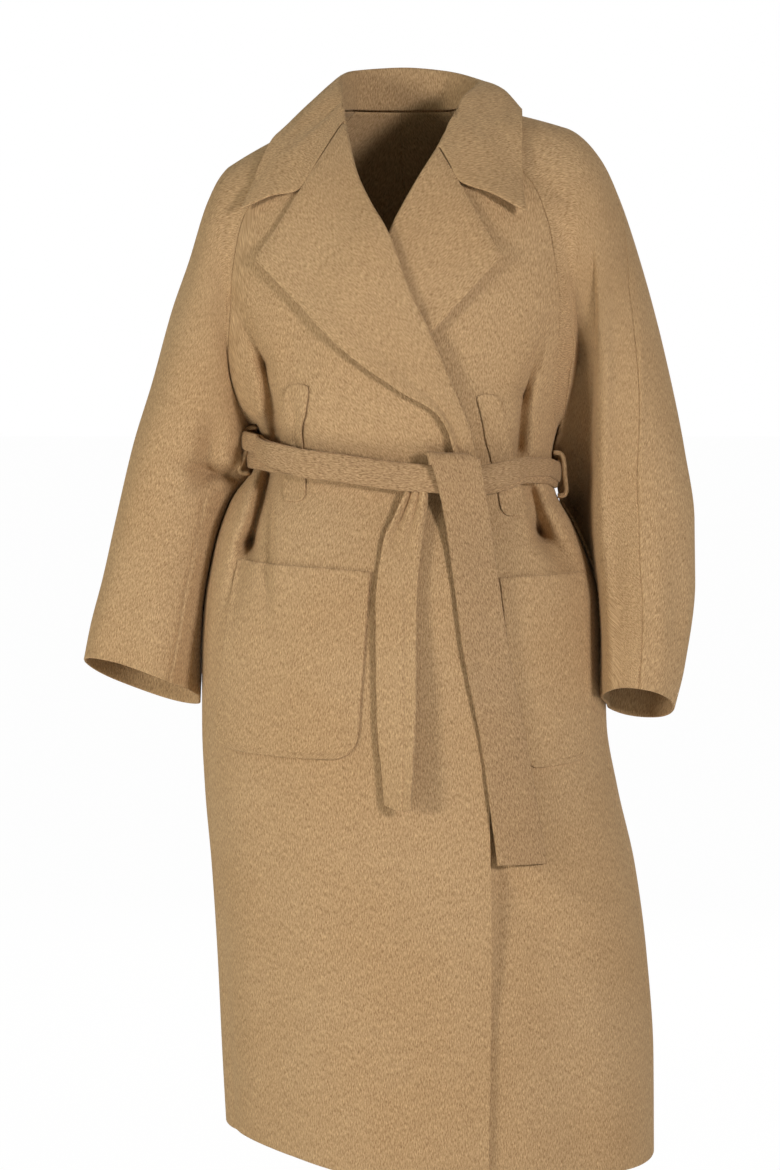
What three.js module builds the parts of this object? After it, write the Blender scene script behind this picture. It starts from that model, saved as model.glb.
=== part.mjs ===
// A wool wrap coat for a woman, worn and belted: raglan sleeves, a notched collar, lapels cut in one with
// the fronts, two patch pockets, two flat waist tabs and a tie belt held by two narrow side loops.
// Millimetres, +Z up, the front faces -Y. The origin is where the wearer's neck and shoulders hold the coat:
// x = 0 is the middle of the neck, z = 0 the height of the shoulder point beside the neck.
// "right" and "left" are the wearer's: the right side lies at negative x.
import * as THREE from "three";

// Driving sizes
const CLOTH = 2.4; // double-faced wool
const SEAM_GAP = 0.3; // between neighbouring pieces
const SLEEVE_SEAM = 1.1; // the same along a sleeve, whose facets turn more sharply
const BELT_CLOTH = 5; // two thicknesses of the same wool
const UNDERARM_Z = -345;
const SIDE_SEAM = 76; // degrees round from the front centre
const LAPEL_LIFT = 5.2; // from a front's middle to its turned-back lapel's middle

// Torso: half widths of the body to the wearer's right and left, and its depth in front and behind
const TORSO = [
  { z: -1140, right: 189, left: 272, front: 176, back: 173 },
  { z: -1029, right: 195, left: 271, front: 174, back: 171 },
  { z: -919, right: 200, left: 263, front: 170, back: 167 },
  { z: -823, right: 206, left: 250, front: 166, back: 162 },
  { z: -740, right: 213, left: 231, front: 162, back: 158 },
  { z: -670, right: 216, left: 219, front: 158, back: 154 },
  { z: -600, right: 213, left: 214, front: 154, back: 148 },
  { z: -538, right: 203, left: 204, front: 147, back: 137 },
  { z: -494, right: 188, left: 189, front: 138, back: 126 },
  { z: -451, right: 168, left: 173, front: 124, back: 112 },
  { z: -420, right: 151, left: 161, front: 113, back: 99 },
  { z: -395, right: 148, left: 158, front: 110, back: 96 },
  { z: -370, right: 153, left: 160, front: 113, back: 99 },
  { z: -345, right: 178, left: 166, front: 123, back: 108 },
  { z: -300, right: 196, left: 180, front: 128, back: 114 },
  { z: -250, right: 202, left: 188, front: 129, back: 117 },
  { z: -200, right: 204, left: 193, front: 126, back: 118 },
  { z: -150, right: 201, left: 193, front: 116, back: 115 },
  { z: -100, right: 189, left: 186, front: 97, back: 108 },
  { z: -60, right: 158, left: 160, front: 73, back: 98 },
  { z: -32, right: 116, left: 120, front: 50, back: 87 },
  { z: -8, right: 88, left: 92, front: 26, back: 76 },
];
const TORSO_SQUARENESS = 2.3; // 2 is an ellipse
// The hem rises at the wearer's right
const HEM = [
  { angle: -180, z: -1122 },
  { angle: -110, z: -1108 },
  { angle: -76, z: -1102 },
  { angle: -40, z: -1116 },
  { angle: -10, z: -1133 },
  { angle: 60, z: -1138 },
  { angle: 110, z: -1132 },
  { angle: 180, z: -1122 },
];
const WAIST_Z = -395; // the narrowest row

// Raglan seams, from the neck down to the underarm: how far each lies from x = 0
const RAGLAN = {
  right: [
    { z: -24, front: 70 },
    { z: -50, front: 104 },
    { z: -75, front: 131 },
    { z: -100, front: 150 },
    { z: -127, front: 168 },
    { z: -176, front: 179 },
    { z: -216, front: 182 },
    { z: -300, front: 182 },
  ],
  left: [
    { z: -24, front: 70 },
    { z: -50, front: 100 },
    { z: -75, front: 122 },
    { z: -106, front: 143 },
    { z: -163, front: 158 },
    { z: -216, front: 165 },
    { z: -258, front: 164 },
    { z: -310, front: 158 },
  ],
  back: [
    { z: -8, back: 52 },
    { z: -40, back: 86 },
    { z: -80, back: 118 },
    { z: -130, back: 144 },
    { z: -200, back: 160 },
    { z: -290, back: 166 },
  ],
};
const NECK_POINT = {
  right: new THREE.Vector3(-76, 5, -13),
  left: new THREE.Vector3(80, 5, -7),
};
const NECK_SHARE = 0.94; // the rest of each raglan loop is the sleeve's edge along the neck

// Front edges: the free edge below the break, and the roll line above it
const RIGHT_EDGE = [
  { z: -1135, x: 88 },
  { z: -900, x: 91 },
  { z: -803, x: 90 },
  { z: -654, x: 84 },
  { z: -528, x: 74 },
  { z: -424, x: 68 },
  { z: -405, x: 72 },
  { z: -380, x: 73 },
  { z: -348, x: 65 },
  { z: -307, x: 49 },
  { z: -253, x: 27 },
  { z: -211, x: 7 },
  { z: -151, x: -16 },
  { z: -118, x: -34 },
  { z: -81, x: -50 },
  { z: -32, x: -61 },
];
const LEFT_EDGE = [
  { z: -1135, x: -78 },
  { z: -800, x: -78 },
  { z: -500, x: -72 },
  { z: -372, x: -70 },
  { z: -345, x: -68 },
  { z: -300, x: -60 },
  { z: -230, x: -44 },
  { z: -150, x: -16 },
  { z: -100, x: 10 },
  { z: -59, x: 35 },
];
// Lapels, seen from the front: break, outer edge up to the tip, and where the collar's notch opens
const LAPELS = {
  right: {
    breakZ: -405,
    gorgeZ: -32,
    neckZ: -24,
    outer: [
      { at: 0, x: 66, z: -405 },
      { at: 0.1, x: 54, z: -376 },
      { at: 0.24, x: 33, z: -333 },
      { at: 0.42, x: -3, z: -311 },
      { at: 0.62, x: -47, z: -280 },
      { at: 1, x: -151, z: -175 },
    ],
    notch: { x: -106.5, z: -102 },
  },
  left: {
    breakZ: -345,
    gorgeZ: -59,
    neckZ: -24,
    outer: [
      { at: 0, x: -62, z: -345 },
      { at: 0.5, x: 12, z: -268 },
      { at: 1, x: 101, z: -172 },
    ],
    notch: { x: 58, z: -95 },
  },
};

// How far the right front stands off the body where it wraps over the left front and its lapel
const OVERLAP = [
  { z: -1135, lift: 5.5 },
  { z: -440, lift: 5.5 },
  { z: -385, lift: 6 },
  { z: -352, lift: 10.6 },
  { z: -160, lift: 10.6 },
  { z: -95, lift: 3 },
  { z: -50, lift: 0 },
];
const OVERLAP_RAMP = 62; // the cloth rises to that over this width

// Large folds, drawn on the body as seen from the front. depth is negative where the cloth sinks
const FRONT_FOLDS = [
  { x0: -178, z0: -215, x1: -143, z1: -283, depth0: -2, depth1: -7, width: 10 },
  { x0: -143, z0: -283, x1: -135, z1: -362, depth0: -7, depth1: -14, width: 10 },
  { x0: -142, z0: -418, x1: -168, z1: -494, depth0: -18, depth1: -8, width: 11 },
  { x0: -168, z0: -494, x1: -186, z1: -585, depth0: -8, depth1: -1, width: 15 },
  { x0: 151, z0: -243, x1: 126, z1: -315, depth0: -2, depth1: -8, width: 9 },
  { x0: 126, z0: -315, x1: 124, z1: -372, depth0: -8, depth1: -13, width: 9 },
  { x0: 138, z0: -420, x1: 150, z1: -466, depth0: -15, depth1: -14, width: 9 },
  { x0: 146, z0: -466, x1: 180, z1: -505, depth0: -14, depth1: -3, width: 13 },
  { x0: 40, z0: -860, x1: 30, z1: -1130, depth0: 1, depth1: 5, width: 60 },
  { x0: 150, z0: -850, x1: 190, z1: -1130, depth0: -1, depth1: -9, width: 34 },
  { x0: -120, z0: -820, x1: -120, z1: -1130, depth0: -1, depth1: -6, width: 40 },
];
const BACK_FOLDS = [
  { x0: -120, z0: -240, x1: -92, z1: -366, depth0: -1, depth1: -13, width: 12 },
  { x0: -60, z0: -270, x1: -44, z1: -366, depth0: -1, depth1: -9, width: 10 },
  { x0: 4, z0: -290, x1: 8, z1: -366, depth0: 0, depth1: -6, width: 9 },
  { x0: 68, z0: -260, x1: 56, z1: -366, depth0: -1, depth1: -10, width: 10 },
  { x0: 124, z0: -240, x1: 100, z1: -366, depth0: -1, depth1: -13, width: 12 },
  { x0: -96, z0: -418, x1: -132, z1: -560, depth0: -15, depth1: -2, width: 13 },
  { x0: -46, z0: -418, x1: -62, z1: -540, depth0: -10, depth1: -1, width: 11 },
  { x0: 12, z0: -418, x1: 16, z1: -520, depth0: -8, depth1: -1, width: 10 },
  { x0: 58, z0: -418, x1: 78, z1: -545, depth0: -11, depth1: -1, width: 11 },
  { x0: 102, z0: -418, x1: 140, z1: -560, depth0: -15, depth1: -2, width: 13 },
  { x0: -60, z0: -760, x1: -70, z1: -1130, depth0: -1, depth1: -10, width: 44 },
  { x0: 90, z0: -760, x1: 110, z1: -1130, depth0: -1, depth1: -10, width: 46 },
];

// Sleeves: each row is a ring from the underarm point u to the overarm point o, seen from the front.
// y is the ring's middle, front and back its reach from there, bow its bend outwards, tip the rise of its
// front in degrees, and under and over where the two sleeve seams lie round it in degrees.
const SLEEVES = {
  right: [
    { at: 0.08, ux: -175, uz: -350, ox: -129, oz: -42, y: 4, front: 72, back: 78, bow: 35, tip: 0, under: 26, over: 180 },
    { at: 0.16, ux: -177, uz: -355, ox: -188, oz: -75, y: 5, front: 77, back: 80, bow: 11, tip: 0, under: 26, over: 180 },
    { at: 0.23, ux: -177, uz: -361, ox: -206, oz: -106, y: 6, front: 81, back: 80, bow: 9, tip: 0, under: 26, over: 181 },
    { at: 0.32, ux: -176, uz: -370, ox: -228, oz: -172, y: 7, front: 84, back: 80, bow: 6, tip: 0, under: 28, over: 182 },
    { at: 0.4, ux: -174, uz: -384, ox: -247, oz: -224, y: 9, front: 84, back: 79, bow: 3, tip: 0, under: 31, over: 183 },
    { at: 0.52, ux: -174, uz: -407, ox: -270, oz: -305, y: 11, front: 80, back: 76, bow: 0, tip: 3, under: 36, over: 184 },
    { at: 0.62, ux: -178, uz: -434, ox: -290, oz: -370, y: 10, front: 74, back: 73, bow: 0, tip: 6, under: 40, over: 185 },
    { at: 0.73, ux: -187, uz: -475, ox: -309, oz: -451, y: 6, front: 68, back: 69, bow: 0, tip: 9, under: 42, over: 185 },
    { at: 0.84, ux: -199, uz: -535, ox: -323, oz: -515, y: -1, front: 64, back: 65, bow: 0, tip: 12, under: 42, over: 185 },
    { at: 0.93, ux: -210, uz: -592, ox: -336, oz: -566, y: -8, front: 60, back: 61, bow: 0, tip: 14, under: 42, over: 185 },
    { at: 1, ux: -219, uz: -646, ox: -343, oz: -603, y: -14, front: 57, back: 58, bow: 0, tip: 16, under: 42, over: 185 },
  ],
  left: [
    { at: 0.08, ux: 164, uz: -350, ox: 125, oz: -18, y: 4, front: 76, back: 80, bow: 28, tip: 0, under: 26, over: 178 },
    { at: 0.16, ux: 165, uz: -355, ox: 179, oz: -33, y: 4, front: 80, back: 82, bow: 10, tip: 0, under: 24, over: 174 },
    { at: 0.23, ux: 167, uz: -361, ox: 210, oz: -63, y: 4, front: 82, back: 82, bow: 6, tip: 0, under: 20, over: 166 },
    { at: 0.31, ux: 171, uz: -371, ox: 231, oz: -106, y: 3, front: 84, back: 82, bow: 3, tip: 0, under: 12, over: 156 },
    { at: 0.4, ux: 179, uz: -392, ox: 253, oz: -171, y: 0, front: 84, back: 81, bow: 0, tip: 2, under: 0, over: 144 },
    { at: 0.52, ux: 184, uz: -422, ox: 279, oz: -268, y: -6, front: 80, back: 77, bow: 0, tip: 4, under: -14, over: 128 },
    { at: 0.64, ux: 190, uz: -460, ox: 301, oz: -376, y: -17, front: 74, back: 71, bow: 0, tip: 8, under: -24, over: 116 },
    { at: 0.74, ux: 197, uz: -500, ox: 311, oz: -451, y: -29, front: 70, back: 66, bow: 0, tip: 12, under: -30, over: 108 },
    { at: 0.83, ux: 203, uz: -545, ox: 311, oz: -516, y: -42, front: 66, back: 61, bow: 0, tip: 15, under: -34, over: 104 },
    { at: 0.94, ux: 208, uz: -605, ox: 299, oz: -606, y: -58, front: 60, back: 56, bow: 0, tip: 18, under: -34, over: 98 },
    { at: 1, ux: 212, uz: -638, ox: 288, oz: -650, y: -64, front: 57, back: 54, bow: 0, tip: 20, under: -34, over: 94 },
  ],
};
const SLEEVE_SQUARENESS = 2.15;
const SLEEVE_FOLDS = {
  right: [
    { x0: -214, z0: -340, x1: -222, z1: -402, depth0: -3, depth1: -12, width: 11 },
    { x0: -240, z0: -412, x1: -204, z1: -400, depth0: -2, depth1: -10, width: 9 },
    { x0: -270, z0: -330, x1: -296, z1: -600, depth0: 0, depth1: -5, width: 24 },
  ],
  left: [
    { x0: 178, z0: -150, x1: 188, z1: -270, depth0: -2, depth1: -15, width: 13 },
    { x0: 188, z0: -270, x1: 197, z1: -440, depth0: -13, depth1: -22, width: 15 },
    { x0: 197, z0: -440, x1: 204, z1: -520, depth0: -22, depth1: -12, width: 14 },
    { x0: 268, z0: -180, x1: 288, z1: -560, depth0: -1, depth1: -6, width: 12 },
  ],
};

// Collar sections from the right front edge round the back of the neck to the left front edge:
// seam is the neckline, roll the fold at the top, and outer the free edge.
const COLLAR = [
  { seamX: -67, seamY: -40, seamZ: -31, rollX: -64, rollY: -32, rollZ: -14, midX: -101, midY: -52, midZ: -60, outerX: -166, outerY: -74, outerZ: -108 },
  { seamX: -72, seamY: -18, seamZ: -20, rollX: -67, rollY: -10, rollZ: 6, midX: -106, midY: -28, midZ: -24, outerX: -152, outerY: -44, outerZ: -68 },
  { seamX: -73, seamY: 12, seamZ: -8, rollX: -68, rollY: 16, rollZ: 22, midX: -102, midY: 10, midZ: -2, outerX: -134, outerY: 4, outerZ: -36 },
  { seamX: -60, seamY: 46, seamZ: -4, rollX: -58, rollY: 50, rollZ: 33, midX: -84, midY: 64, midZ: 0, outerX: -104, outerY: 78, outerZ: -42 },
  { seamX: -32, seamY: 68, seamZ: -3, rollX: -31, rollY: 73, rollZ: 38, midX: -46, midY: 95, midZ: 2, outerX: -58, outerY: 112, outerZ: -45 },
  { seamX: 0, seamY: 75, seamZ: -2, rollX: 2, rollY: 80, rollZ: 40, midX: 2, midY: 104, midZ: 3, outerX: 2, outerY: 122, outerZ: -46 },
  { seamX: 34, seamY: 69, seamZ: -3, rollX: 38, rollY: 74, rollZ: 37, midX: 54, midY: 94, midZ: 4, outerX: 64, outerY: 111, outerZ: -44 },
  { seamX: 62, seamY: 46, seamZ: -2, rollX: 68, rollY: 50, rollZ: 29, midX: 90, midY: 62, midZ: 6, outerX: 104, outerY: 74, outerZ: -32 },
  { seamX: 76, seamY: 12, seamZ: -1, rollX: 81, rollY: 17, rollZ: 19, midX: 107, midY: 12, midZ: 12, outerX: 127, outerY: 6, outerZ: -11 },
  { seamX: 74, seamY: -20, seamZ: -14, rollX: 66, rollY: -18, rollZ: 3, midX: 97, midY: -32, midZ: -18, outerX: 125, outerY: -42, outerZ: -52 },
  { seamX: 56, seamY: -50, seamZ: -40, rollX: 49, rollY: -47, rollZ: -30, midX: 84, midY: -66, midZ: -59, outerX: 122, outerY: -72, outerZ: -92 },
];
const COLLAR_RISE = 2.1; // from the neckline to the collar's lower edge
const COLLAR_LIFT = 6.6; // from the shoulders' middle to the collar's
const STAND_LIFT = 3.4;
const COLLAR_GAP = 1.8; // between a lapel's top edge and the collar
const COLLAR_TIPS = {
  right: { x: -163, z: -124, lift: 9 },
  left: { x: 121, z: -125, lift: 9 },
};

const POCKET_LIFT = 1.6; // room under a pocket, enough for its front's facets
const TAB_LIFT = 1;
// Patch pockets, corner by corner as seen from the front
const POCKETS = {
  right: { topZ: [-491, -501], bottomZ: [-688, -695], outerX: [-176, -203], innerX: [-34, -48], corner: 26 },
  left: { topZ: [-505, -507], bottomZ: [-699, -706], outerX: [189, 199], innerX: [100, 120], corner: 26 },
};
// Flat tabs that the belt crosses: middle of the top and bottom, and width
const TABS = {
  right: { topX: -107, bottomX: -117, topZ: -303, bottomZ: -430, width: 25 },
  left: { topX: 86, bottomX: 118, topZ: -314, bottomZ: -444, width: 24 },
};

// The belt round the waist: angle from the front centre, height of its middle, width and stand-off
const BELT = [
  { angle: -180, z: -392, width: 44, lift: 3.2 },
  { angle: -125, z: -386, width: 44, lift: 3.2 },
  { angle: -84, z: -374, width: 40, lift: 3.6 },
  { angle: -66, z: -378, width: 36, lift: 5 },
  { angle: -52, z: -382, width: 32, lift: 9.3 },
  { angle: -38, z: -387, width: 29, lift: 9.8 },
  { angle: -24, z: -391, width: 27, lift: 8 },
  { angle: 4, z: -402, width: 26, lift: 11 },
  { angle: 20, z: -403, width: 27, lift: 18 },
  { angle: 34, z: -398, width: 28, lift: 17 },
  { angle: 48, z: -395, width: 29, lift: 8 },
  { angle: 66, z: -396, width: 30, lift: 4.5 },
  { angle: 84, z: -401, width: 28, lift: 3.6 },
  { angle: 125, z: -394, width: 42, lift: 3.6 },
  { angle: 180, z: -392, width: 44, lift: 3.2 },
];
const BELT_FOLDED = 8; // thickness where the belt is folded along its length
// Hanging ends: left and right edge as seen from the front, and how far each stands off the coat
const LONG_END = [
  { z: -381, x0: 26, x1: 86, lift0: 33, lift1: 33 },
  { z: -400, x0: 29, x1: 89, lift0: 34, lift1: 34 },
  { z: -430, x0: 38, x1: 93, lift0: 27, lift1: 27 },
  { z: -470, x0: 46, x1: 98, lift0: 17, lift1: 17 },
  { z: -571, x0: 61, x1: 113, lift0: 15, lift1: 13 },
  { z: -676, x0: 80, x1: 131, lift0: 14, lift1: 12 },
  { z: -804, x0: 98, x1: 151, lift0: 16, lift1: 14 },
];
const SHORT_END = [
  { z: -415.4, x0: 4, x1: 30, lift0: 16, lift1: 19 },
  { z: -440, x0: -8, x1: 31, lift0: 15, lift1: 17 },
  { z: -465, x0: -20, x1: 28, lift0: 13, lift1: 16 },
  { z: -530, x0: -29, x1: 19, lift0: 13, lift1: 17 },
  { z: -635, x0: -28, x1: 13, lift0: 12, lift1: 26 },
  { z: -740, x0: -19, x1: 8, lift0: 13, lift1: 34 },
];
const LOOP = { width: 7, thick: 2.6, reach: 13.5 };
const LOOPS = {
  right: { topZ: -351, bottomZ: -400 },
  left: { topZ: -378, bottomZ: -424 },
};

// How finely each piece is divided
const ROWS = { armhole: 13, sleeve: 15 };
// Rows from the hem to the underarm, closest where the belt draws the cloth in
const SKIRT = [0, 0.1, 0.2, 0.3, 0.4, 0.49, 0.57, 0.64, 0.7, 0.755, 0.805, 0.85, 0.885, 0.913, 0.94, 0.968, 1];
const COLUMNS = { front: 21, roll: 4, lapel: 5, back: 20, collar: 32, pocket: 12 };

const COLOURS = { wool: "#b2956c" };
const wool = new THREE.MeshStandardMaterial({ color: COLOURS.wool, roughness: 0.95, metalness: 0, name: "wool" });

const radians = THREE.MathUtils.degToRad;
const degrees = THREE.MathUtils.radToDeg;
const mix = THREE.MathUtils.lerp;
const clamp = THREE.MathUtils.clamp;
const spread = (count, make) => Array.from({ length: count + 1 }, (_, i) => make(i / count, i));

function smooth(value, from, to) {
  const t = clamp((value - from) / (to - from), 0, 1);
  return t * t * (3 - 2 * t);
}

// One column of a table read between its rows, along a curve that never overshoots them
function read(table, key, place, column) {
  const rows = table[0][key] < table[table.length - 1][key] ? table : [...table].reverse();
  const last = rows.length - 1;
  const at = clamp(place, rows[0][key], rows[last][key]);
  let i = 0;
  while (i < last - 1 && rows[i + 1][key] < at) i += 1;
  const slope = (k) => (rows[k + 1][column] - rows[k][column]) / (rows[k + 1][key] - rows[k][key]);
  const tangent = (k) => {
    if (k === 0) return slope(0);
    if (k === last) return slope(last - 1);
    const before = slope(k - 1);
    const after = slope(k);
    return before * after <= 0 ? 0 : (2 * before * after) / (before + after);
  };
  const span = rows[i + 1][key] - rows[i][key];
  const t = (at - rows[i][key]) / span;
  const a = 2 * t ** 3 - 3 * t ** 2 + 1;
  const b = t ** 3 - 2 * t ** 2 + t;
  const c = 3 * t ** 2 - 2 * t ** 3;
  const d = t ** 3 - t ** 2;
  return a * rows[i][column] + b * span * tangent(i) + c * rows[i + 1][column] + d * span * tangent(i + 1);
}

// Height of the folds at a place on the body, seen from the front
function foldHeight(folds, x, z) {
  let height = 0;
  for (const f of folds) {
    const dx = f.x1 - f.x0;
    const dz = f.z1 - f.z0;
    const length = Math.hypot(dx, dz);
    const along = ((x - f.x0) * dx + (z - f.z0) * dz) / length;
    const across = ((x - f.x0) * dz - (z - f.z0) * dx) / length;
    const past = Math.max(0, -along, along - length);
    const share = clamp(along / length, 0, 1);
    const fade = Math.exp(-((across / f.width) ** 2) - (past / (f.width * 1.2)) ** 2);
    height += mix(f.depth0, f.depth1, share) * fade;
  }
  return height;
}

// Torso surface at a height and an angle round it: 0 at the front centre, positive to the wearer's left
function torsoSection(z) {
  const at = (column) => read(TORSO, "z", z, column);
  const right = at("right");
  const left = at("left");
  return { middle: (left - right) / 2, half: (left + right) / 2, front: at("front"), back: at("back") };
}

function power(value, exponent) {
  return Math.sign(value) * Math.abs(value) ** exponent;
}

// The narrowest line of the torso is the belt's own, which dips from side to side
function waistShift(z, angle) {
  const middle = read(BELT, "angle", angle, "z");
  const near = 1 - smooth(Math.abs(z - middle), 40, 150);
  return (middle - WAIST_Z) * near;
}

function torsoPoint(z, degreesRound) {
  const angle = degreesRound > 180 ? degreesRound - 360 : degreesRound;
  const s = torsoSection(z - waistShift(z, angle));
  const turn = radians(angle);
  const x = s.middle + s.half * power(Math.sin(turn), 2 / TORSO_SQUARENESS);
  const forward = power(Math.cos(turn), 2 / TORSO_SQUARENESS);
  const y = forward > 0 ? -s.front * forward : -s.back * forward;
  const facing = smooth(Math.abs(forward), 0, 0.35);
  const fold = forward > 0 ? -foldHeight(FRONT_FOLDS, x, z) : foldHeight(BACK_FOLDS, x, z);
  return new THREE.Vector3(x, y + fold * facing, z);
}

function torsoNormal(z, angle) {
  const step = 1.5;
  const up = torsoPoint(z + step, angle).sub(torsoPoint(z - step, angle));
  const round = torsoPoint(z, angle + step / 2).sub(torsoPoint(z, angle - step / 2));
  return round.cross(up).normalize();
}

function onTorso(z, angle, lift) {
  return torsoPoint(z, angle).addScaledVector(torsoNormal(z, angle), lift);
}

// The angle at which the torso's front, or its back, reaches a given x
function angleOf(x, z, behind = false) {
  const rough = behind ? 180 - x / 2 : x / 2;
  const s = torsoSection(z - waistShift(z, rough > 180 ? rough - 360 : rough));
  const share = clamp((x - s.middle) / s.half, -1, 1);
  const angle = degrees(Math.asin(power(share, TORSO_SQUARENESS / 2)));
  return behind ? 180 - angle : angle;
}

const SIDES = { right: -1, left: 1 };
const SLEEVE_CLEAR = 2.2;

// Moves a point of a sleeve out until it stands clear of the torso below the armpit
function clearOfTorso(point, gap) {
  const angle = degrees(Math.atan2(point.x, -point.y));
  const s = torsoSection(point.z - waistShift(point.z, angle));
  const depth = point.y < 0 ? s.front : s.back;
  const across = point.x - s.middle;
  const squares = Math.abs(across / s.half) ** TORSO_SQUARENESS + Math.abs(point.y / depth) ** TORSO_SQUARENESS;
  const reach = squares ** (1 / TORSO_SQUARENESS);
  const need = 1 + (gap * reach) / Math.hypot(across, point.y);
  if (reach >= need) return point;
  const grow = mix(1, need / reach, smooth(-point.z, 150, 240));
  return new THREE.Vector3(s.middle + across * grow, point.y * grow, point.z);
}

// Angle of a raglan seam at a height; it runs into the side seam at the underarm
function raglanAngle(side, z, behind) {
  const sign = SIDES[side];
  const table = behind ? RAGLAN.back : RAGLAN[side];
  const column = behind ? "back" : "front";
  const rows = table.map((row) => {
    const angle = angleOf(sign * row[column], row.z, behind);
    return { z: row.z, angle: behind ? sign * (angle > 180 ? 360 - angle : angle) : angle };
  });
  rows.push({ z: UNDERARM_Z, angle: sign * SIDE_SEAM });
  return read(rows, "z", z, "angle");
}

function raglanTop(side, behind) {
  return behind ? RAGLAN.back[0].z : RAGLAN[side][0].z;
}

// Heights of the rows that the panels and the sleeves share along an armhole
const armholeShare = (i) => (1 - Math.cos((Math.PI * i) / ROWS.armhole)) / 2;
const ARMHOLE = spread(ROWS.armhole, (_, i) => Math.min(armholeShare(i) / NECK_SHARE, 1)).filter(
  (share, i, all) => i === 0 || share > all[i - 1],
);

// A wall made from a grid of middle points and the outward directions at them
function wall(grid, directions, thick = CLOTH) {
  const rows = grid.length;
  const columns = grid[0].length;
  const positions = [];
  for (const side of [0.5, -0.5])
    for (let i = 0; i < rows; i += 1)
      for (let j = 0; j < columns; j += 1) {
        const p = grid[i][j].clone().addScaledVector(directions[i][j], side * thick);
        positions.push(p.x, p.y, p.z);
      }
  const outer = (i, j) => i * columns + j;
  const inner = (i, j) => rows * columns + i * columns + j;
  const triangles = [];
  const quad = (a, b, c, d) => triangles.push(a, b, c, a, c, d);
  for (let i = 0; i < rows - 1; i += 1) {
    for (let j = 0; j < columns - 1; j += 1) {
      quad(outer(i, j), outer(i, j + 1), outer(i + 1, j + 1), outer(i + 1, j));
      quad(inner(i, j), inner(i + 1, j), inner(i + 1, j + 1), inner(i, j + 1));
    }
    quad(outer(i, 0), outer(i + 1, 0), inner(i + 1, 0), inner(i, 0));
    const e = columns - 1;
    quad(outer(i + 1, e), outer(i, e), inner(i, e), inner(i + 1, e));
  }
  for (let j = 0; j < columns - 1; j += 1) {
    quad(outer(0, j + 1), outer(0, j), inner(0, j), inner(0, j + 1));
    const t = rows - 1;
    quad(outer(t, j), outer(t, j + 1), inner(t, j + 1), inner(t, j));
  }
  const geometry = new THREE.BufferGeometry();
  geometry.setAttribute("position", new THREE.Float32BufferAttribute(positions, 3));
  geometry.setIndex(triangles);
  return geometry;
}

// Outward directions of a grid, from its neighbours; columns run to the wearer's left, rows run up
function gridNormals(grid) {
  return grid.map((row, i) =>
    row.map((_, j) => {
      const right = grid[i][Math.min(j + 1, row.length - 1)].clone().sub(grid[i][Math.max(j - 1, 0)]);
      const up = grid[Math.min(i + 1, grid.length - 1)][j].clone().sub(grid[Math.max(i - 1, 0)][j]);
      return right.cross(up).normalize();
    }),
  );
}

// Draws a grid's outline in by half a seam gap, so that neighbours stay apart
function drawIn(grid, amount = SEAM_GAP / 2) {
  const towards = (p, q) => {
    const d = q.clone().sub(p);
    return d.length() > 1e-6 ? d.setLength(amount) : d;
  };
  const last = grid.length - 1;
  const end = grid[0].length - 1;
  return grid.map((row, i) =>
    row.map((p, j) => {
      const moved = p.clone();
      if (i === 0) moved.add(towards(p, grid[1][j]));
      if (i === last) moved.add(towards(p, grid[last - 1][j]));
      if (j === 0) moved.add(towards(p, row[1]));
      if (j === end) moved.add(towards(p, row[end - 1]));
      return moved;
    }),
  );
}

// A closed bar: one outline of points for each station, joined round and capped at both ends
function bar(outlines, closed = false) {
  const positions = outlines.flat().flatMap((p) => [p.x, p.y, p.z]);
  const count = outlines[0].length;
  const triangles = [];
  const stations = outlines.length;
  for (let i = 0; i < (closed ? stations : stations - 1); i += 1)
    for (let j = 0; j < count; j += 1) {
      const a = i * count + j;
      const b = i * count + ((j + 1) % count);
      const c = ((i + 1) % stations) * count + ((j + 1) % count);
      const d = ((i + 1) % stations) * count + j;
      triangles.push(a, c, b, a, d, c);
    }
  if (!closed)
    for (let j = 1; j < count - 1; j += 1) {
      const end = (stations - 1) * count;
      triangles.push(0, j, j + 1, end, end + j + 1, end + j);
    }
  const geometry = new THREE.BufferGeometry();
  geometry.setAttribute("position", new THREE.Float32BufferAttribute(positions, 3));
  geometry.setIndex(triangles);
  return geometry;
}

// Stand-off of each front from the body
function frontLift(side, x, z) {
  if (side === "left") return 0;
  const hidden = read(LEFT_EDGE, "z", z, "x");
  return read(OVERLAP, "z", z, "lift") * smooth(x, hidden - 10 - OVERLAP_RAMP, hidden - 10);
}

function onFront(side, x, z, lift) {
  return onTorso(z, angleOf(x, z), frontLift(side, x, z) + lift);
}

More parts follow.
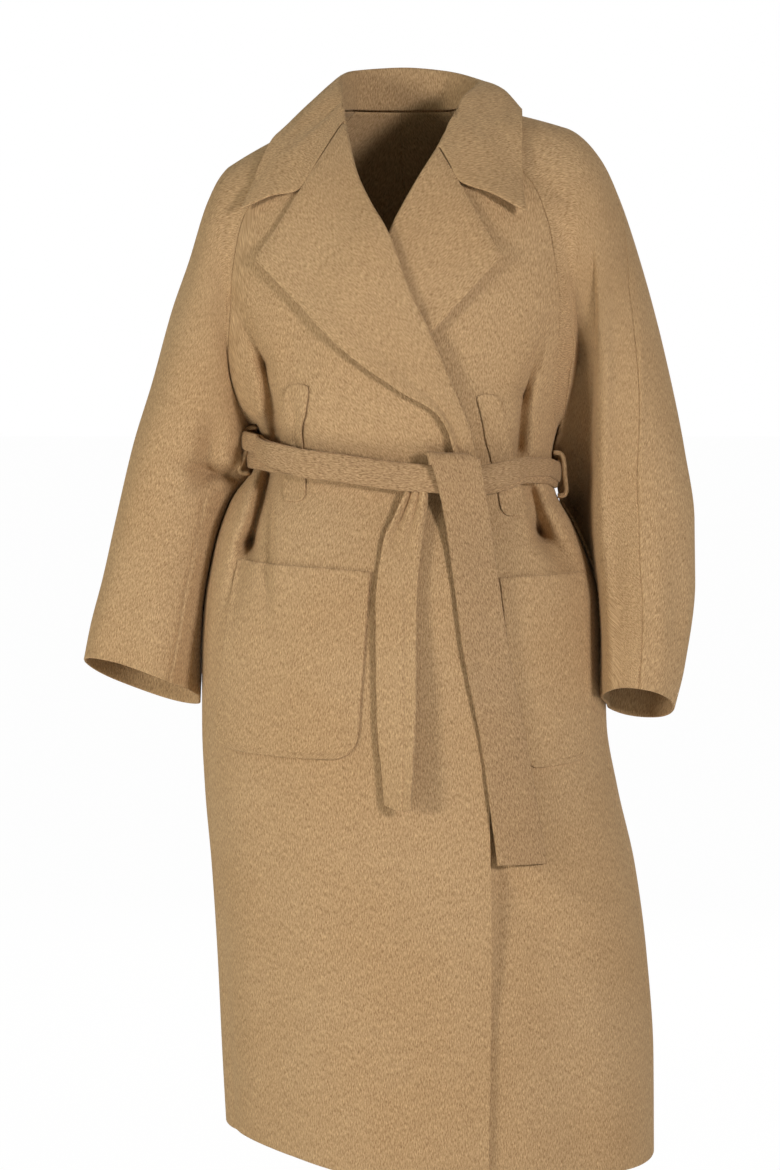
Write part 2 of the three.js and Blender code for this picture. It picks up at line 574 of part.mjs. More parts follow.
// A front and its lapel: columns run from the side seam to the roll line, over the roll, to the free edge
function frontGrid(side) {
  const sign = SIDES[side];
  const edges = side === "right" ? RIGHT_EDGE : LEFT_EDGE;
  const lapel = LAPELS[side];
  const radius = LAPEL_LIFT / 2;
  const rollLength = Math.PI * radius;
  const flat = 3; // free cloth beyond the roll where the lapel starts
  const hemAt = (angle) => read(HEM, "angle", angle, "z");
  const skirtRows = SKIRT.map((t) => ({ side: mix(hemAt(sign * SIDE_SEAM), UNDERARM_Z, t), share: t }));
  const chestRows = ARMHOLE.slice(1).map((share) => ({ side: mix(UNDERARM_Z, raglanTop(side, false), share) }));
  const rows = [...skirtRows, ...chestRows];
  const top = rows.length - 1;
  const start = skirtRows.findIndex((row) => row.side > lapel.breakZ - 8);
  const breakZ = skirtRows[start].side;
  const grid = rows.map((row, i) => {
    const risen = clamp((i - start) / (top - start), 0, 1);
    const low = mix(hemAt(angleOf(edges[0].x, edges[0].z)), UNDERARM_Z, row.share ?? 1);
    const edgeZ = i <= start ? low : mix(breakZ, lapel.gorgeZ, risen ** 0.92);
    const edgeX = read(edges, "z", edgeZ, "x");
    const sideAngle = row.side <= UNDERARM_Z ? sign * SIDE_SEAM : raglanAngle(side, row.side, false);
    const fold = smooth(edgeZ, lapel.breakZ - 6, lapel.breakZ + 12);
    const inset = mix(rollLength + flat, radius, fold);
    const lastX = edgeX + sign * inset;
    const line = spread(COLUMNS.front, (u) => {
      const levelZ = mix(row.side, edgeZ, u * u * (3 - 2 * u));
      const angle = mix(sideAngle, angleOf(lastX, levelZ), u);
      const z = i < start ? mix(hemAt(angle), UNDERARM_Z, row.share) : levelZ;
      return onTorso(z, angle, frontLift(side, torsoPoint(z, angle).x, z));
    });
    const root = line[line.length - 1];
    const out = torsoNormal(edgeZ, angleOf(lastX, edgeZ));
    const beyond = onFront(side, edgeX, edgeZ, 0).sub(root).normalize();
    const turn = Math.PI * fold;
    const bend = (a) => {
      if (turn < 0.05) return root.clone().addScaledVector(beyond, rollLength * a);
      const r = rollLength / turn;
      return root
        .clone()
        .addScaledVector(beyond, r * Math.sin(turn * a))
        .addScaledVector(out, r * (1 - Math.cos(turn * a)));
    };
    for (let k = 1; k <= COLUMNS.roll; k += 1) line.push(bend(k / COLUMNS.roll));
    const rolled = line[line.length - 1].clone();
    const leave = beyond.clone().multiplyScalar(Math.cos(turn)).addScaledVector(out, Math.sin(turn));
    const tipX = read(lapel.outer, "at", risen, "x");
    const tipZ = read(lapel.outer, "at", risen, "z");
    for (let k = 1; k <= COLUMNS.lapel; k += 1) {
      const share = k / COLUMNS.lapel;
      const straight = rolled.clone().addScaledVector(leave, flat * share);
      const x = mix(lastX, tipX, share);
      const z = mix(edgeZ, tipZ, share);
      const laid = onFront(side, x, z, LAPEL_LIFT + 1.5 * Math.sin(Math.PI * share));
      const opened = smooth(edgeZ, lapel.breakZ + 8, lapel.breakZ + 30);
      line.push(straight.lerp(laid, opened));
    }
    return sign < 0 ? line : line.reverse();
  });
  return { grid, rows };
}

// Place on a front's own facets, seen from the front at x and z, and the outward direction there
const facetGrids = {};
function onFacets(side, x, z, lift) {
  facetGrids[side] ??= frontGrid(side).grid.map((row) =>
    side === "right" ? row.slice(0, COLUMNS.front + 1) : row.slice(-COLUMNS.front - 1),
  );
  const grid = facetGrids[side];
  const normal = torsoNormal(z, angleOf(x, z));
  const within = (a, b, c) => {
    const area = (b.x - a.x) * (c.z - a.z) - (c.x - a.x) * (b.z - a.z);
    const v = ((x - a.x) * (c.z - a.z) - (c.x - a.x) * (z - a.z)) / area;
    const w = ((b.x - a.x) * (z - a.z) - (x - a.x) * (b.z - a.z)) / area;
    if (!(v >= 0 && w >= 0 && v + w <= 1)) return null;
    return a.y + (b.y - a.y) * v + (c.y - a.y) * w;
  };
  for (let i = 0; i < grid.length - 1; i += 1)
    for (let j = 0; j < grid[i].length - 1; j += 1) {
      const [a, b, c, d] = [grid[i][j], grid[i][j + 1], grid[i + 1][j + 1], grid[i + 1][j]];
      const y = within(a, b, c) ?? within(a, c, d);
      if (y !== null) return new THREE.Vector3(x, y, z).addScaledVector(normal, lift);
    }
  return onFront(side, x, z, lift);
}

function frontPanel(side) {
  const sign = SIDES[side];
  const { grid, rows } = frontGrid(side);
  const inward = drawIn(grid);
  const directions = gridNormals(inward);
  const seam = sign < 0 ? 0 : grid[0].length - 1;
  rows.forEach((row, i) => {
    const angle = row.side <= UNDERARM_Z ? sign * SIDE_SEAM : raglanAngle(side, row.side, false);
    directions[i][seam] = torsoNormal(row.side, angle);
  });
  return wall(inward, directions);
}

const BACK_ROWS = [
  ...SKIRT.map((share) => ({ share, z: UNDERARM_Z, from: SIDE_SEAM, to: 360 - SIDE_SEAM })),
  ...ARMHOLE.slice(1).map((share) => {
    const z = mix(UNDERARM_Z, raglanTop("left", true), share);
    return { z, from: raglanAngle("left", z, true), to: 360 + raglanAngle("right", z, true) };
  }),
];
const onBack = (task) =>
  BACK_ROWS.map((row) =>
    spread(COLUMNS.back, (u) => {
      const angle = mix(row.from, row.to, u);
      const hem = read(HEM, "angle", angle > 180 ? angle - 360 : angle, "z");
      return task(mix(hem, row.z, row.share ?? 1), angle);
    }),
  );

// The back's halves meet in a seam down the middle
function backPanel(side) {
  const half = COLUMNS.back / 2;
  const part = (grid) => grid.map((row) => (side === "left" ? row.slice(0, half + 1) : row.slice(half)));
  const grid = part(onBack((z, angle) => onTorso(z, angle, 0)));
  const directions = part(onBack(torsoNormal));
  directions.forEach((row) => row[side === "left" ? half : 0].setX(0).normalize());
  return wall(drawIn(grid), directions);
}

// Ring of a sleeve: turn 0 at the underarm, 90 at the front, 180 at the overarm, 270 behind
function sleeveRing(side, at, turn) {
  const table = SLEEVES[side];
  const row = (column) => read(table, "at", at, column);
  const o = new THREE.Vector3(row("ox"), row("y"), row("oz"));
  const u = new THREE.Vector3(row("ux"), row("y"), row("uz"));
  const half = o.clone().sub(u).multiplyScalar(0.5);
  const tip = radians(row("tip"));
  const ahead = new THREE.Vector3(0, -Math.cos(tip), Math.sin(tip));
  const outward = new THREE.Vector3(-half.z, 0, half.x).normalize();
  if (outward.x * SIDES[side] < 0) outward.negate();
  const a = radians(turn);
  const across = power(Math.sin(a), 2 / SLEEVE_SQUARENESS);
  const reach = across > 0 ? row("front") : row("back");
  const point = u
    .clone()
    .add(half)
    .addScaledVector(half, -power(Math.cos(a), 2 / SLEEVE_SQUARENESS))
    .addScaledVector(ahead, reach * across)
    .addScaledVector(outward, row("bow") * Math.abs(across));
  const facing = smooth(across, 0, 0.5);
  point.y -= foldHeight(SLEEVE_FOLDS[side], point.x, point.z) * facing;
  return clearOfTorso(point, SLEEVE_CLEAR * smooth(at, 0, 0.3) + 2.5);
}

// The loop that a sleeve starts from: up the front raglan seam, along the neck, down the back one
function armholePoint(side, turn) {
  const behind = turn > 180;
  const share = (1 - Math.cos(radians(turn))) / 2;
  const top = raglanTop(side, behind);
  const place = Math.min(share / NECK_SHARE, 1);
  const z = mix(UNDERARM_Z, top, place);
  const angle = raglanAngle(side, z, behind);
  const point = torsoPoint(z, angle);
  const along = clamp((share - NECK_SHARE) / (1 - NECK_SHARE), 0, 1);
  const normal = torsoNormal(z, angle);
  return { point: point.lerp(NECK_POINT[side], along), normal };
}

const FIRST_RING = 0.08;

function sleevePoint(side, at, turn) {
  if (at >= FIRST_RING) return sleeveRing(side, at, turn);
  const loop = armholePoint(side, turn).point;
  return loop.lerp(sleeveRing(side, FIRST_RING, turn), at / FIRST_RING);
}

function sleeveNormal(side, at, turn) {
  const step = 0.004;
  const ahead = sleevePoint(side, Math.min(at + step, 1), turn).sub(sleevePoint(side, Math.max(at - step, 0), turn));
  const round = sleevePoint(side, at, turn + 1).sub(sleevePoint(side, at, turn - 1));
  const normal = ahead.cross(round).normalize();
  return SIDES[side] < 0 ? normal.negate() : normal;
}

function sleevePanel(side, behind) {
  const rows = [0, ...spread(ROWS.sleeve, (t) => mix(FIRST_RING, 1, t))];
  const turnAt = (at, i) => {
    const share = i / ROWS.armhole;
    const under = at < FIRST_RING ? 0 : read(SLEEVES[side], "at", at, "under");
    const over = at < FIRST_RING ? 180 : read(SLEEVES[side], "at", at, "over");
    return behind ? mix(over, 360 + under, share) : mix(under, over, share);
  };
  const make = (task) => rows.map((at) => spread(ROWS.armhole, (_, i) => task(at, turnAt(at, i))));
  const arranged = (grid) => {
    const upward = [...grid].reverse();
    return SIDES[side] < 0 ? upward.map((row) => [...row].reverse()) : upward;
  };
  const grid = make((at, turn) => sleevePoint(side, at, turn));
  const directions = make((at, turn) => (at === 0 ? armholePoint(side, turn).normal : sleeveNormal(side, at, turn)));
  return wall(drawIn(arranged(grid), SLEEVE_SEAM / 2), arranged(directions));
}

// The neckline that the collar is sewn to, from the right front's roll line round the back to the left one
function neckline() {
  const tops = Object.keys(SIDES).map((side) => {
    const row = frontGrid(side).grid.at(-1);
    return side === "right" ? row.slice(0, COLUMNS.front + 1).reverse() : row.slice(-COLUMNS.front - 1).reverse();
  });
  const behind = onBack(torsoPoint).at(-1).reverse();
  const path = [...tops[0], NECK_POINT.right, ...behind, NECK_POINT.left, ...tops[1]];
  return path.flatMap((p, i) => (i === 0 ? [p] : spread(3, (t) => path[i - 1].clone().lerp(p, t)).slice(1)));
}

// Points and outward directions of the shoulders that the collar rests on
function shoulderSamples() {
  const samples = [];
  for (const side of Object.keys(SIDES)) {
    for (let at = 0.01; at < 0.4; at += 0.015)
      for (let turn = 20; turn < 340; turn += 4)
        samples.push({ point: sleevePoint(side, at, turn), normal: sleeveNormal(side, at, turn) });
    for (let z = -190; z < -24; z += 5)
      for (let x = 20; x < 185; x += 5) {
        const angle = angleOf(SIDES[side] * x, z);
        if (Math.abs(angle) < Math.abs(raglanAngle(side, z, false)))
          samples.push({ point: onFront(side, SIDES[side] * x, z, 0), normal: torsoNormal(z, angle) });
      }
  }
  for (let z = -90; z < -8; z += 5)
    for (let angle = 140; angle < 221; angle += 3)
      samples.push({ point: torsoPoint(z, angle), normal: torsoNormal(z, angle) });
  return samples;
}

// Lifts a point until it stands a given height off the nearest of those places
function rest(samples, point, lift) {
  const moved = point.clone();
  for (let pass = 0; pass < 3; pass += 1) {
    let near = samples[0];
    let best = Infinity;
    for (const sample of samples) {
      const distance = sample.point.distanceToSquared(moved);
      if (distance < best) {
        best = distance;
        near = sample;
      }
    }
    const height = moved.clone().sub(near.point).dot(near.normal);
    if (height < lift) moved.addScaledVector(near.normal, lift - height);
  }
  return moved;
}

// The collar's front edge follows the lapel's top edge to the notch, and goes on to its own tip
function collarEnd(side) {
  const lapel = LAPELS[side];
  const sign = SIDES[side];
  const x = read(side === "right" ? RIGHT_EDGE : LEFT_EDGE, "z", lapel.gorgeZ, "x");
  const aside = { x: sign * COLLAR_GAP * 0.85, z: COLLAR_GAP * 0.53 };
  const place = (px, pz, lift) => onFront(side, px + aside.x, pz + aside.z, lift);
  const low = place(x + sign * 3, lapel.gorgeZ, 0);
  const rolled = place(x, lapel.gorgeZ, LAPEL_LIFT / 2);
  const gorge = place(x + sign * 3, lapel.gorgeZ, LAPEL_LIFT);
  const { notch } = lapel;
  const tip = COLLAR_TIPS[side];
  const along = place((x + sign * 3 + notch.x) / 2, (lapel.gorgeZ + notch.z) / 2, LAPEL_LIFT + 1.5);
  const free = place((notch.x + tip.x) / 2, (notch.z + tip.z) / 2, (LAPEL_LIFT + 1.5 + tip.lift) / 2);
  const end = onFront(side, tip.x, tip.z, tip.lift);
  return [low, rolled, gorge, along, place(notch.x, notch.z, LAPEL_LIFT + 1.5), free, end];
}

// Collar: each section runs from the neckline up to the fold and down to the free edge
function collar() {
  const sections = COLLAR.map((row, i) => ({ ...row, at: i / (COLLAR.length - 1) }));
  const samples = shoulderSamples();
  const seamLine = neckline();
  const value = (part, at) =>
    new THREE.Vector3(...["X", "Y", "Z"].map((axis) => read(sections, "at", at, part + axis)));
  const onSeam = (point) => {
    const nearest = seamLine.reduce((a, b) => (b.distanceTo(point) < a.distanceTo(point) ? b : a));
    return nearest.clone().add(new THREE.Vector3(0, 0, COLLAR_RISE));
  };
  const steps = 6;
  const section = (t) => {
    const curve = new THREE.CatmullRomCurve3(
      [onSeam(value("seam", t)), value("roll", t), value("mid", t), value("outer", t)],
      false,
      "centripetal",
    );
    return spread(steps, (a) => curve.getPoint(a)).map((p, k) => (k > 0 ? rest(samples, p, k > 2 ? COLLAR_LIFT : STAND_LIFT) : p));
  };
  const grid = [collarEnd("right"), ...spread(COLUMNS.collar - 2, section), collarEnd("left")];
  const upward = grid[0].map((_, j) => grid.map((row) => row[j])).reverse();
  return wall(drawIn(upward), gridNormals(upward));
}

// Patch pocket: a rectangle with rounded lower corners, laid on its front
function pocket(side) {
  const p = POCKETS[side];
  const size = { width: Math.abs(p.innerX[0] - p.outerX[0]), height: Math.abs(p.bottomZ[0] - p.topZ[0]) };
  const round = { x: p.corner / size.width, z: p.corner / size.height };
  const cornerRows = spread(4, (t) => round.z * (1 - Math.cos((t * Math.PI) / 2)));
  const plainRows = spread(6, (t) => mix(round.z, 1, t)).slice(1);
  const grid = [...cornerRows, ...plainRows].map((v) =>
    spread(COLUMNS.pocket, (s) => {
      const near = Math.max(0, 1 - v / round.z);
      const inset = round.x * (1 - Math.sqrt(Math.max(0, 1 - near ** 2)));
      const u = mix(inset, 1 - inset, s);
      const left = mix(p.outerX[1], p.outerX[0], v);
      const right = mix(p.innerX[1], p.innerX[0], v);
      const x = mix(left, right, u);
      const z = mix(mix(p.bottomZ[0], p.bottomZ[1], u), mix(p.topZ[0], p.topZ[1], u), v);
      return { x, z };
    }),
  );
  const ordered = SIDES[side] < 0 ? grid : grid.map((row) => [...row].reverse());
  const lift = CLOTH + POCKET_LIFT;
  const points = ordered.map((row) => row.map(({ x, z }) => onFacets(side, x, z, lift)));
  return wall(points, gridNormals(points));
}

function tab(side) {
  const p = TABS[side];
  const grid = spread(11, (t) =>
    spread(4, (s) => {
      const x = mix(p.bottomX, p.topX, t) + (s - 0.5) * p.width;
      return onFacets(side, x, mix(p.bottomZ, p.topZ, t), CLOTH + TAB_LIFT);
    }),
  );
  return wall(grid, gridNormals(grid), 2);
}

// Section of the belt: a flat bar with rounded edges, in the plane of two directions
function flatOutline(centre, out, up, width, thick) {
  const half = width / 2 - thick / 2;
  return [
    [0, -1],
    [0.5, -0.8],
    [0.5, 0.8],
    [0, 1],
    [-0.5, 0.8],
    [-0.5, -0.8],
  ].map(([across, along]) =>
    centre
      .clone()
      .addScaledVector(out, across * thick)
      .addScaledVector(up, along * (half + thick / 2)),
  );
}

function beltBand() {
  const up = new THREE.Vector3(0, 0, 1);
  const stations = 56;
  const outlines = Array.from({ length: stations }, (_, i) => {
    const angle = mix(-180, 180, i / stations);
    const at = (column) => read(BELT, "angle", angle, column);
    const bare = (z, a) => torsoPoint(z, ((a + 540) % 360) - 180);
    const before = bare(at("z"), angle - 6);
    const after = bare(at("z"), angle + 6);
    const out = after.sub(before).cross(up).normalize();
    const level = bare(at("z"), angle);
    const reach = at("width") / 2 + 6;
    const under = [-1, -0.5, 0, 0.5, 1].flatMap((share) =>
      [-5, 0, 5].map((turn) => bare(at("z") + share * reach, angle + turn).sub(level).dot(out)),
    );
    const centre = level.addScaledVector(out, Math.max(...under) + at("lift") + BELT_FOLDED / 2);
    return flatOutline(centre, out, up, at("width"), BELT_FOLDED);
  });
  return bar(outlines, true);
}

// A hanging belt end: a strip that follows the coat at its own stand-off
function beltEnd(table) {
  const rows = 18;
  const last = table[table.length - 1].z;
  const grid = spread(rows, (t) => {
    const z = mix(last, table[0].z, t);
    const at = (column) => read(table, "z", z, column);
    return spread(4, (s) => {
      const x = mix(at("x0"), at("x1"), s);
      const lift = mix(at("lift0"), at("lift1"), s);
      const angle = angleOf(x, z);
      const base = torsoPoint(z, angle);
      return new THREE.Vector3(x, base.y - lift, z);
    });
  });
  return wall(grid, gridNormals(grid), BELT_CLOTH);
}

// The knot: the belt's turn over its own band, from behind the top edge to the long end
function knot() {
  const first = LONG_END[0];
  const path = [
    { z: -380, lift: 20 },
    { z: -375.5, lift: 21.5 },
    { z: -373.5, lift: 26 },
    { z: -375, lift: 31 },
    { z: -380, lift: 33 },
  ];
  const grid = path.map(({ z, lift }) =>
    spread(4, (s) => {
      const x = mix(first.x0 + 2, first.x1 - 2, s);
      const base = torsoPoint(first.z, angleOf(x, first.z));
      return new THREE.Vector3(x, base.y - lift, z);
    }),
  );
  const upward = [...grid].reverse();
  return wall(upward, gridNormals(upward), 3);
}

// A narrow loop at a side seam, standing out round the belt
function beltLoop(side) {
  const angle = SIDES[side] * (SIDE_SEAM + 6);
  const stations = 14;
  const { topZ, bottomZ } = LOOPS[side];
  const height = (topZ - bottomZ) / 2;
  const middle = (topZ + bottomZ) / 2;
  const base = torsoPoint(middle, angle);
  const out = torsoNormal(middle, angle).setZ(0).normalize();
  const round = new THREE.Vector3(-out.y, out.x, 0);
  const reachAt = (z) => torsoPoint(z, angle).sub(base).dot(out);
  const centreAt = (a) => {
    const z = middle + height * Math.sin(a);
    const rise = CLOTH / 2 + LOOP.thick / 2 + 3 * SEAM_GAP;
    const bulge = (LOOP.reach + LOOP.thick) * power(Math.cos(a), 0.35);
    return base.clone().setZ(z).addScaledVector(out, Math.max(reachAt(z), 0) + rise + bulge);
  };
  const outlines = spread(stations, (t) => {
    const a = mix(-Math.PI / 2, Math.PI / 2, t);
    const centre = centreAt(a);
    const along = centreAt(Math.min(a + 0.05, Math.PI / 2)).sub(centreAt(Math.max(a - 0.05, -Math.PI / 2)));
    const thick = round.clone().cross(along).normalize().multiplyScalar(LOOP.thick / 2);
    const wide = round.clone().multiplyScalar(LOOP.width / 2);
    const corner = (w, t2) => centre.clone().addScaledVector(wide, w).addScaledVector(thick, t2);
    return [corner(-1, -1), corner(1, -1), corner(1, 1), corner(-1, 1)];
  });
  return bar(outlines);
}

const coat = new THREE.Group();

function add(name, geometry) {
  const mesh = new THREE.Mesh(geometry, wool);
  mesh.name = name;
  coat.add(mesh);
}

for (const side of Object.keys(SIDES)) {
  add(`back_${side}`, backPanel(side));
  add(`front_${side}`, frontPanel(side));
  add(`sleeve_${side}_front`, sleevePanel(side, false));
  add(`sleeve_${side}_back`, sleevePanel(side, true));
  add(`pocket_${side}`, pocket(side));
  add(`waist_tab_${side}`, tab(side));
  add(`belt_loop_${side}`, beltLoop(side));
}
add("collar", collar());
add("belt_band", beltBand());
add("belt_knot", knot());
add("belt_end_long", beltEnd(LONG_END));
add("belt_end_short", beltEnd(SHORT_END));

export default coat;
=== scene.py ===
"""A belted wrap coat of brushed double-faced wool, in the form it takes when worn.

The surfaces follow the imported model's own: a torso of rounded sections, sleeves of rings between an
underarm and an overarm line, and a collar of sections round the neck. Sizes are millimetres until a mesh is
made. +Z is up and the front faces -Y. "right" and "left" are the wearer's, so right is at negative x.
"""

import logging
import math
from dataclasses import dataclass, field, replace
from enum import Enum

import bpy
import numpy as np
from bpy.types import Material, Node, NodeSocket, NodeTree, Object
from numpy import ndarray as Array
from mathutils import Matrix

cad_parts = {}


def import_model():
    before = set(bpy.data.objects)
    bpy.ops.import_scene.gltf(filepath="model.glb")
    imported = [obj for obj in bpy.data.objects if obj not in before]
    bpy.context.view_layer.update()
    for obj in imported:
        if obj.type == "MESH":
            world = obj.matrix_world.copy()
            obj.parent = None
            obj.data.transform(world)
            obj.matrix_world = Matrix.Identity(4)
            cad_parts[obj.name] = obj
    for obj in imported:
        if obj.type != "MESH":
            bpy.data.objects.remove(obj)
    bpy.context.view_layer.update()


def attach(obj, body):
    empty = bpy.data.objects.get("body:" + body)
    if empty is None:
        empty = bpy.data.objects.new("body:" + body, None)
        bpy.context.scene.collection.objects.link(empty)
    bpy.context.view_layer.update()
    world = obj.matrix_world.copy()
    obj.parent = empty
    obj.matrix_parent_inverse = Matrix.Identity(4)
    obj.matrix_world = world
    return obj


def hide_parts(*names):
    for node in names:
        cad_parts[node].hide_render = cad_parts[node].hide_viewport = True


LOG = logging.getLogger("coat")
MM = 0.001
CLOTH = 2.8
UNDERARM_Z = -345.0
SIDE_SEAM = 76.0
LAPEL_LIFT = 5.2
# Steps for measuring a surface's slope, in mm and degrees
PROBE_MM, PROBE_DEGREES = 1.5, 0.75


class Side(Enum):
    """The wearer's sides, with the sign of their x."""

    RIGHT = -1
    LEFT = 1

    @property
    def word(self) -> str:
        """Returns: the side as it stands in the pieces' names."""
        return self.name.lower()


class Edge(Enum):
    """How a cloth edge is finished: turned and pressed, or sewn to its neighbour."""

    FREE = "free"
    SEAM = "seam"


# Where rows are added beside an edge, in mm, and the share of the thickness left there
EDGE_PROFILES = {
    Edge.FREE: ((0.0, 0.3), (0.35, 0.72), (1.1, 1.0)),
    Edge.SEAM: ((0.0, 0.3), (0.7, 0.75), (1.8, 1.0)),
}


# ---------------------------------------------------------------- curves and small maths


def smooth(value: Array, start: float, end: float) -> Array:
    """Args: value, and where the step starts and ends. Returns: 0 to 1 with a smooth step."""
    t = np.clip((np.asarray(value, float) - start) / (end - start), 0, 1)
    return t * t * (3 - 2 * t)


def power(value: Array, exponent: float) -> Array:
    """Args: value and exponent. Returns: the power of its size with its sign kept."""
    return np.sign(value) * np.abs(value) ** exponent


def mix(a: Array, b: Array, t: Array) -> Array:
    """Args: two values and the share of the second. Returns: the mixture."""
    return a + (b - a) * t


def unit(vectors: Array) -> Array:
    """Args: vectors. Returns: them at length one."""
    length = np.linalg.norm(vectors, axis=-1, keepdims=True)
    return vectors / np.maximum(length, 1e-9)


class Track:
    """A curve through a table's rows that never overshoots them."""

    def __init__(self, knots: list[float], values: list[float]) -> None:
        """Args: places along the table, and the value at each."""
        order = np.argsort(knots)
        self.knots = np.asarray(knots, float)[order]
        self.values = np.asarray(values, float)[order]
        slopes = np.diff(self.values) / np.diff(self.knots)
        before, after = slopes[:-1], slopes[1:]
        total = np.where(before + after == 0, 1, before + after)
        inner = np.where(before * after > 0, 2 * before * after / total, 0)
        self.tangents = np.concatenate([slopes[:1], inner, slopes[-1:]])

    def __call__(self, place: Array) -> Array:
        """Args: place along the table. Returns: the value there."""
        k, v, m = self.knots, self.values, self.tangents
        at = np.clip(place, k[0], k[-1])
        i = np.clip(np.searchsorted(k, at) - 1, 0, len(k) - 2)
        span = k[i + 1] - k[i]
        t = (at - k[i]) / span
        a, b = 2 * t**3 - 3 * t**2 + 1, t**3 - 2 * t**2 + t
        c, d = 3 * t**2 - 2 * t**3, t**3 - t**2
        return a * v[i] + b * span * m[i] + c * v[i + 1] + d * span * m[i + 1]


def tracks(rows: list[tuple], names: str) -> dict[str, Track]:
    """Args: rows whose first value is the place, and the other columns' names. Returns: a curve for each."""
    columns = list(zip(*rows))
    return {name: Track(columns[0], columns[i + 1]) for i, name in enumerate(names.split())}


def value_noise(x: Array, y: Array, seed: int) -> Array:
    """Args: places in cells and a seed. Returns: smooth noise from -1 to 1."""
    rng = np.random.default_rng(seed)
    cells = rng.uniform(-1, 1, (64, 64))
    xi, yi = np.floor(x).astype(int), np.floor(y).astype(int)
    u, v = x - xi, y - yi
    u, v = u * u * (3 - 2 * u), v * v * (3 - 2 * v)
    pick = lambda a, b: cells[a % 64, b % 64]
    low = mix(pick(xi, yi), pick(xi + 1, yi), u)
    high = mix(pick(xi, yi + 1), pick(xi + 1, yi + 1), u)
    return mix(low, high, v)


# ---------------------------------------------------------------- folds


# How far a fold runs out past its ends, and how its flanks fall off, as shares of its width
CREASE_RUNOUT, FOLD_RUNOUT = 1.5, 1.2
SOFT_FLANK, STEEP_FLANK = 1.6, 0.3


def beside(x: Array, z: Array, start: tuple, end: tuple) -> tuple[Array, Array, float]:
    """Args: places and a line's ends. Returns: how far along and across the line they lie, and its length."""
    dx, dz = end[0] - start[0], end[1] - start[1]
    length = math.hypot(dx, dz)
    along = ((x - start[0]) * dx + (z - start[1]) * dz) / length
    across = ((x - start[0]) * dz - (z - start[1]) * dx) / length
    return along, across, length


@dataclass(frozen=True)
class Crease:
    """A fold drawn on the cloth as seen from the front.

    points holds (x, z, depth, width) along it. side is 0 where both flanks are alike, and +1 or -1 where the
    cloth falls away sharply on that side only, as a pleat's edge does."""

    points: tuple[tuple[float, float, float, float], ...]
    side: int = 0

    def height(self, x: Array, z: Array) -> Array:
        """Args: places. Returns: how far the fold lifts or sinks the cloth there."""
        best = np.full(np.shape(x), np.inf)
        out = np.zeros(np.shape(x))
        last = len(self.points) - 2
        for i, (start, end) in enumerate(zip(self.points, self.points[1:])):
            along, across, length = beside(x, z, start, end)
            share = np.clip(along / length, 0, 1)
            past = np.maximum(0, np.maximum(-along, along - length))
            width = mix(start[3], end[3], share)
            reach = np.hypot(across, past)
            ends = (past > 0) & (((along < 0) & (i == 0)) | ((along > length) & (i == last)))
            stretch = np.where(ends, past / (width * CREASE_RUNOUT), 0)
            form = np.exp(-((across / width) ** 2) - stretch**2)
            if self.side:
                soft = np.exp(-np.abs(across) / (width * SOFT_FLANK))
                steep = np.exp(-((across / (width * STEEP_FLANK)) ** 2))
                form = np.where(across * self.side > 0, steep, soft) * np.exp(-(stretch**2))
            here = mix(start[2], end[2], share) * form
            near = reach < best
            out = np.where(near, here, out)
            best = np.minimum(best, reach)
        return out


def straight(rows: list[tuple]) -> Array:
    """Args: rows of x0, z0, x1, z1, depth0, depth1, width. Returns: them as an array."""
    return np.asarray(rows, float)


def fold_height(folds: Array, x: Array, z: Array) -> Array:
    """Args: straight folds and places. Returns: the height of the folds there."""
    height = np.zeros(np.broadcast(x, z).shape)
    for x0, z0, x1, z1, d0, d1, width in folds:
        along, across, length = beside(x, z, (x0, z0), (x1, z1))
        past = np.maximum(0, np.maximum(-along, along - length))
        share = np.clip(along / length, 0, 1)
        fade = (across / width) ** 2 + (past / (width * FOLD_RUNOUT)) ** 2
        height += mix(d0, d1, share) * np.exp(-fade)
    return height


# ---------------------------------------------------------------- tables of the coat's form

TORSO_ROWS = [
    (-1140, 189, 272, 176, 173), (-1029, 195, 271, 174, 171), (-919, 200, 263, 170, 167),
    (-823, 206, 250, 166, 162), (-740, 213, 231, 162, 158), (-670, 216, 219, 158, 154),
    (-600, 216, 217, 154, 148), (-538, 213, 212, 147, 137), (-494, 204, 199, 138, 126),
    (-451, 185, 181, 124, 112), (-420, 162, 164, 113, 99), (-395, 148, 158, 110, 96),
    (-370, 156, 160, 113, 99), (-345, 179, 166, 123, 108), (-300, 196, 180, 128, 114),
    (-250, 202, 188, 129, 117), (-200, 204, 193, 126, 118), (-150, 201, 193, 116, 115),
    (-100, 189, 186, 97, 108), (-60, 158, 160, 73, 98), (-32, 116, 120, 50, 87), (-8, 88, 92, 26, 76),
]
SQUARE = 2.3
HEM_ROWS = [
    (-180, -1122), (-110, -1108), (-76, -1102), (-40, -1116), (-10, -1133), (60, -1138), (110, -1132),
    (180, -1122),
]
WAIST_Z = -395
BELT_ROWS = [
    (-180, -392, 44, 3.2), (-125, -386, 44, 3.2), (-84, -374, 40, 3.6), (-66, -378, 36, 5),
    (-52, -382, 32, 9.3), (-38, -387, 29, 9.8), (-24, -391, 28, 8), (4, -402, 28, 11), (20, -404, 29, 18),
    (34, -398, 27, 17), (48, -391, 21, 8), (66, -392, 19.5, 4.5), (84, -398, 23, 3.6), (125, -394, 42, 3.6),
    (180, -392, 44, 3.2),
]
RAGLAN_ROWS = {
    Side.RIGHT: [
        (-24, 70), (-50, 104), (-75, 131), (-100, 150), (-127, 168), (-176, 179), (-216, 182), (-300, 182),
    ],
    Side.LEFT: [
        (-24, 70), (-50, 100), (-75, 122), (-106, 143), (-163, 158), (-216, 165), (-258, 164), (-310, 158),
    ],
}
RAGLAN_BACK = [(-8, 52), (-40, 86), (-80, 118), (-130, 144), (-200, 160), (-290, 166)]
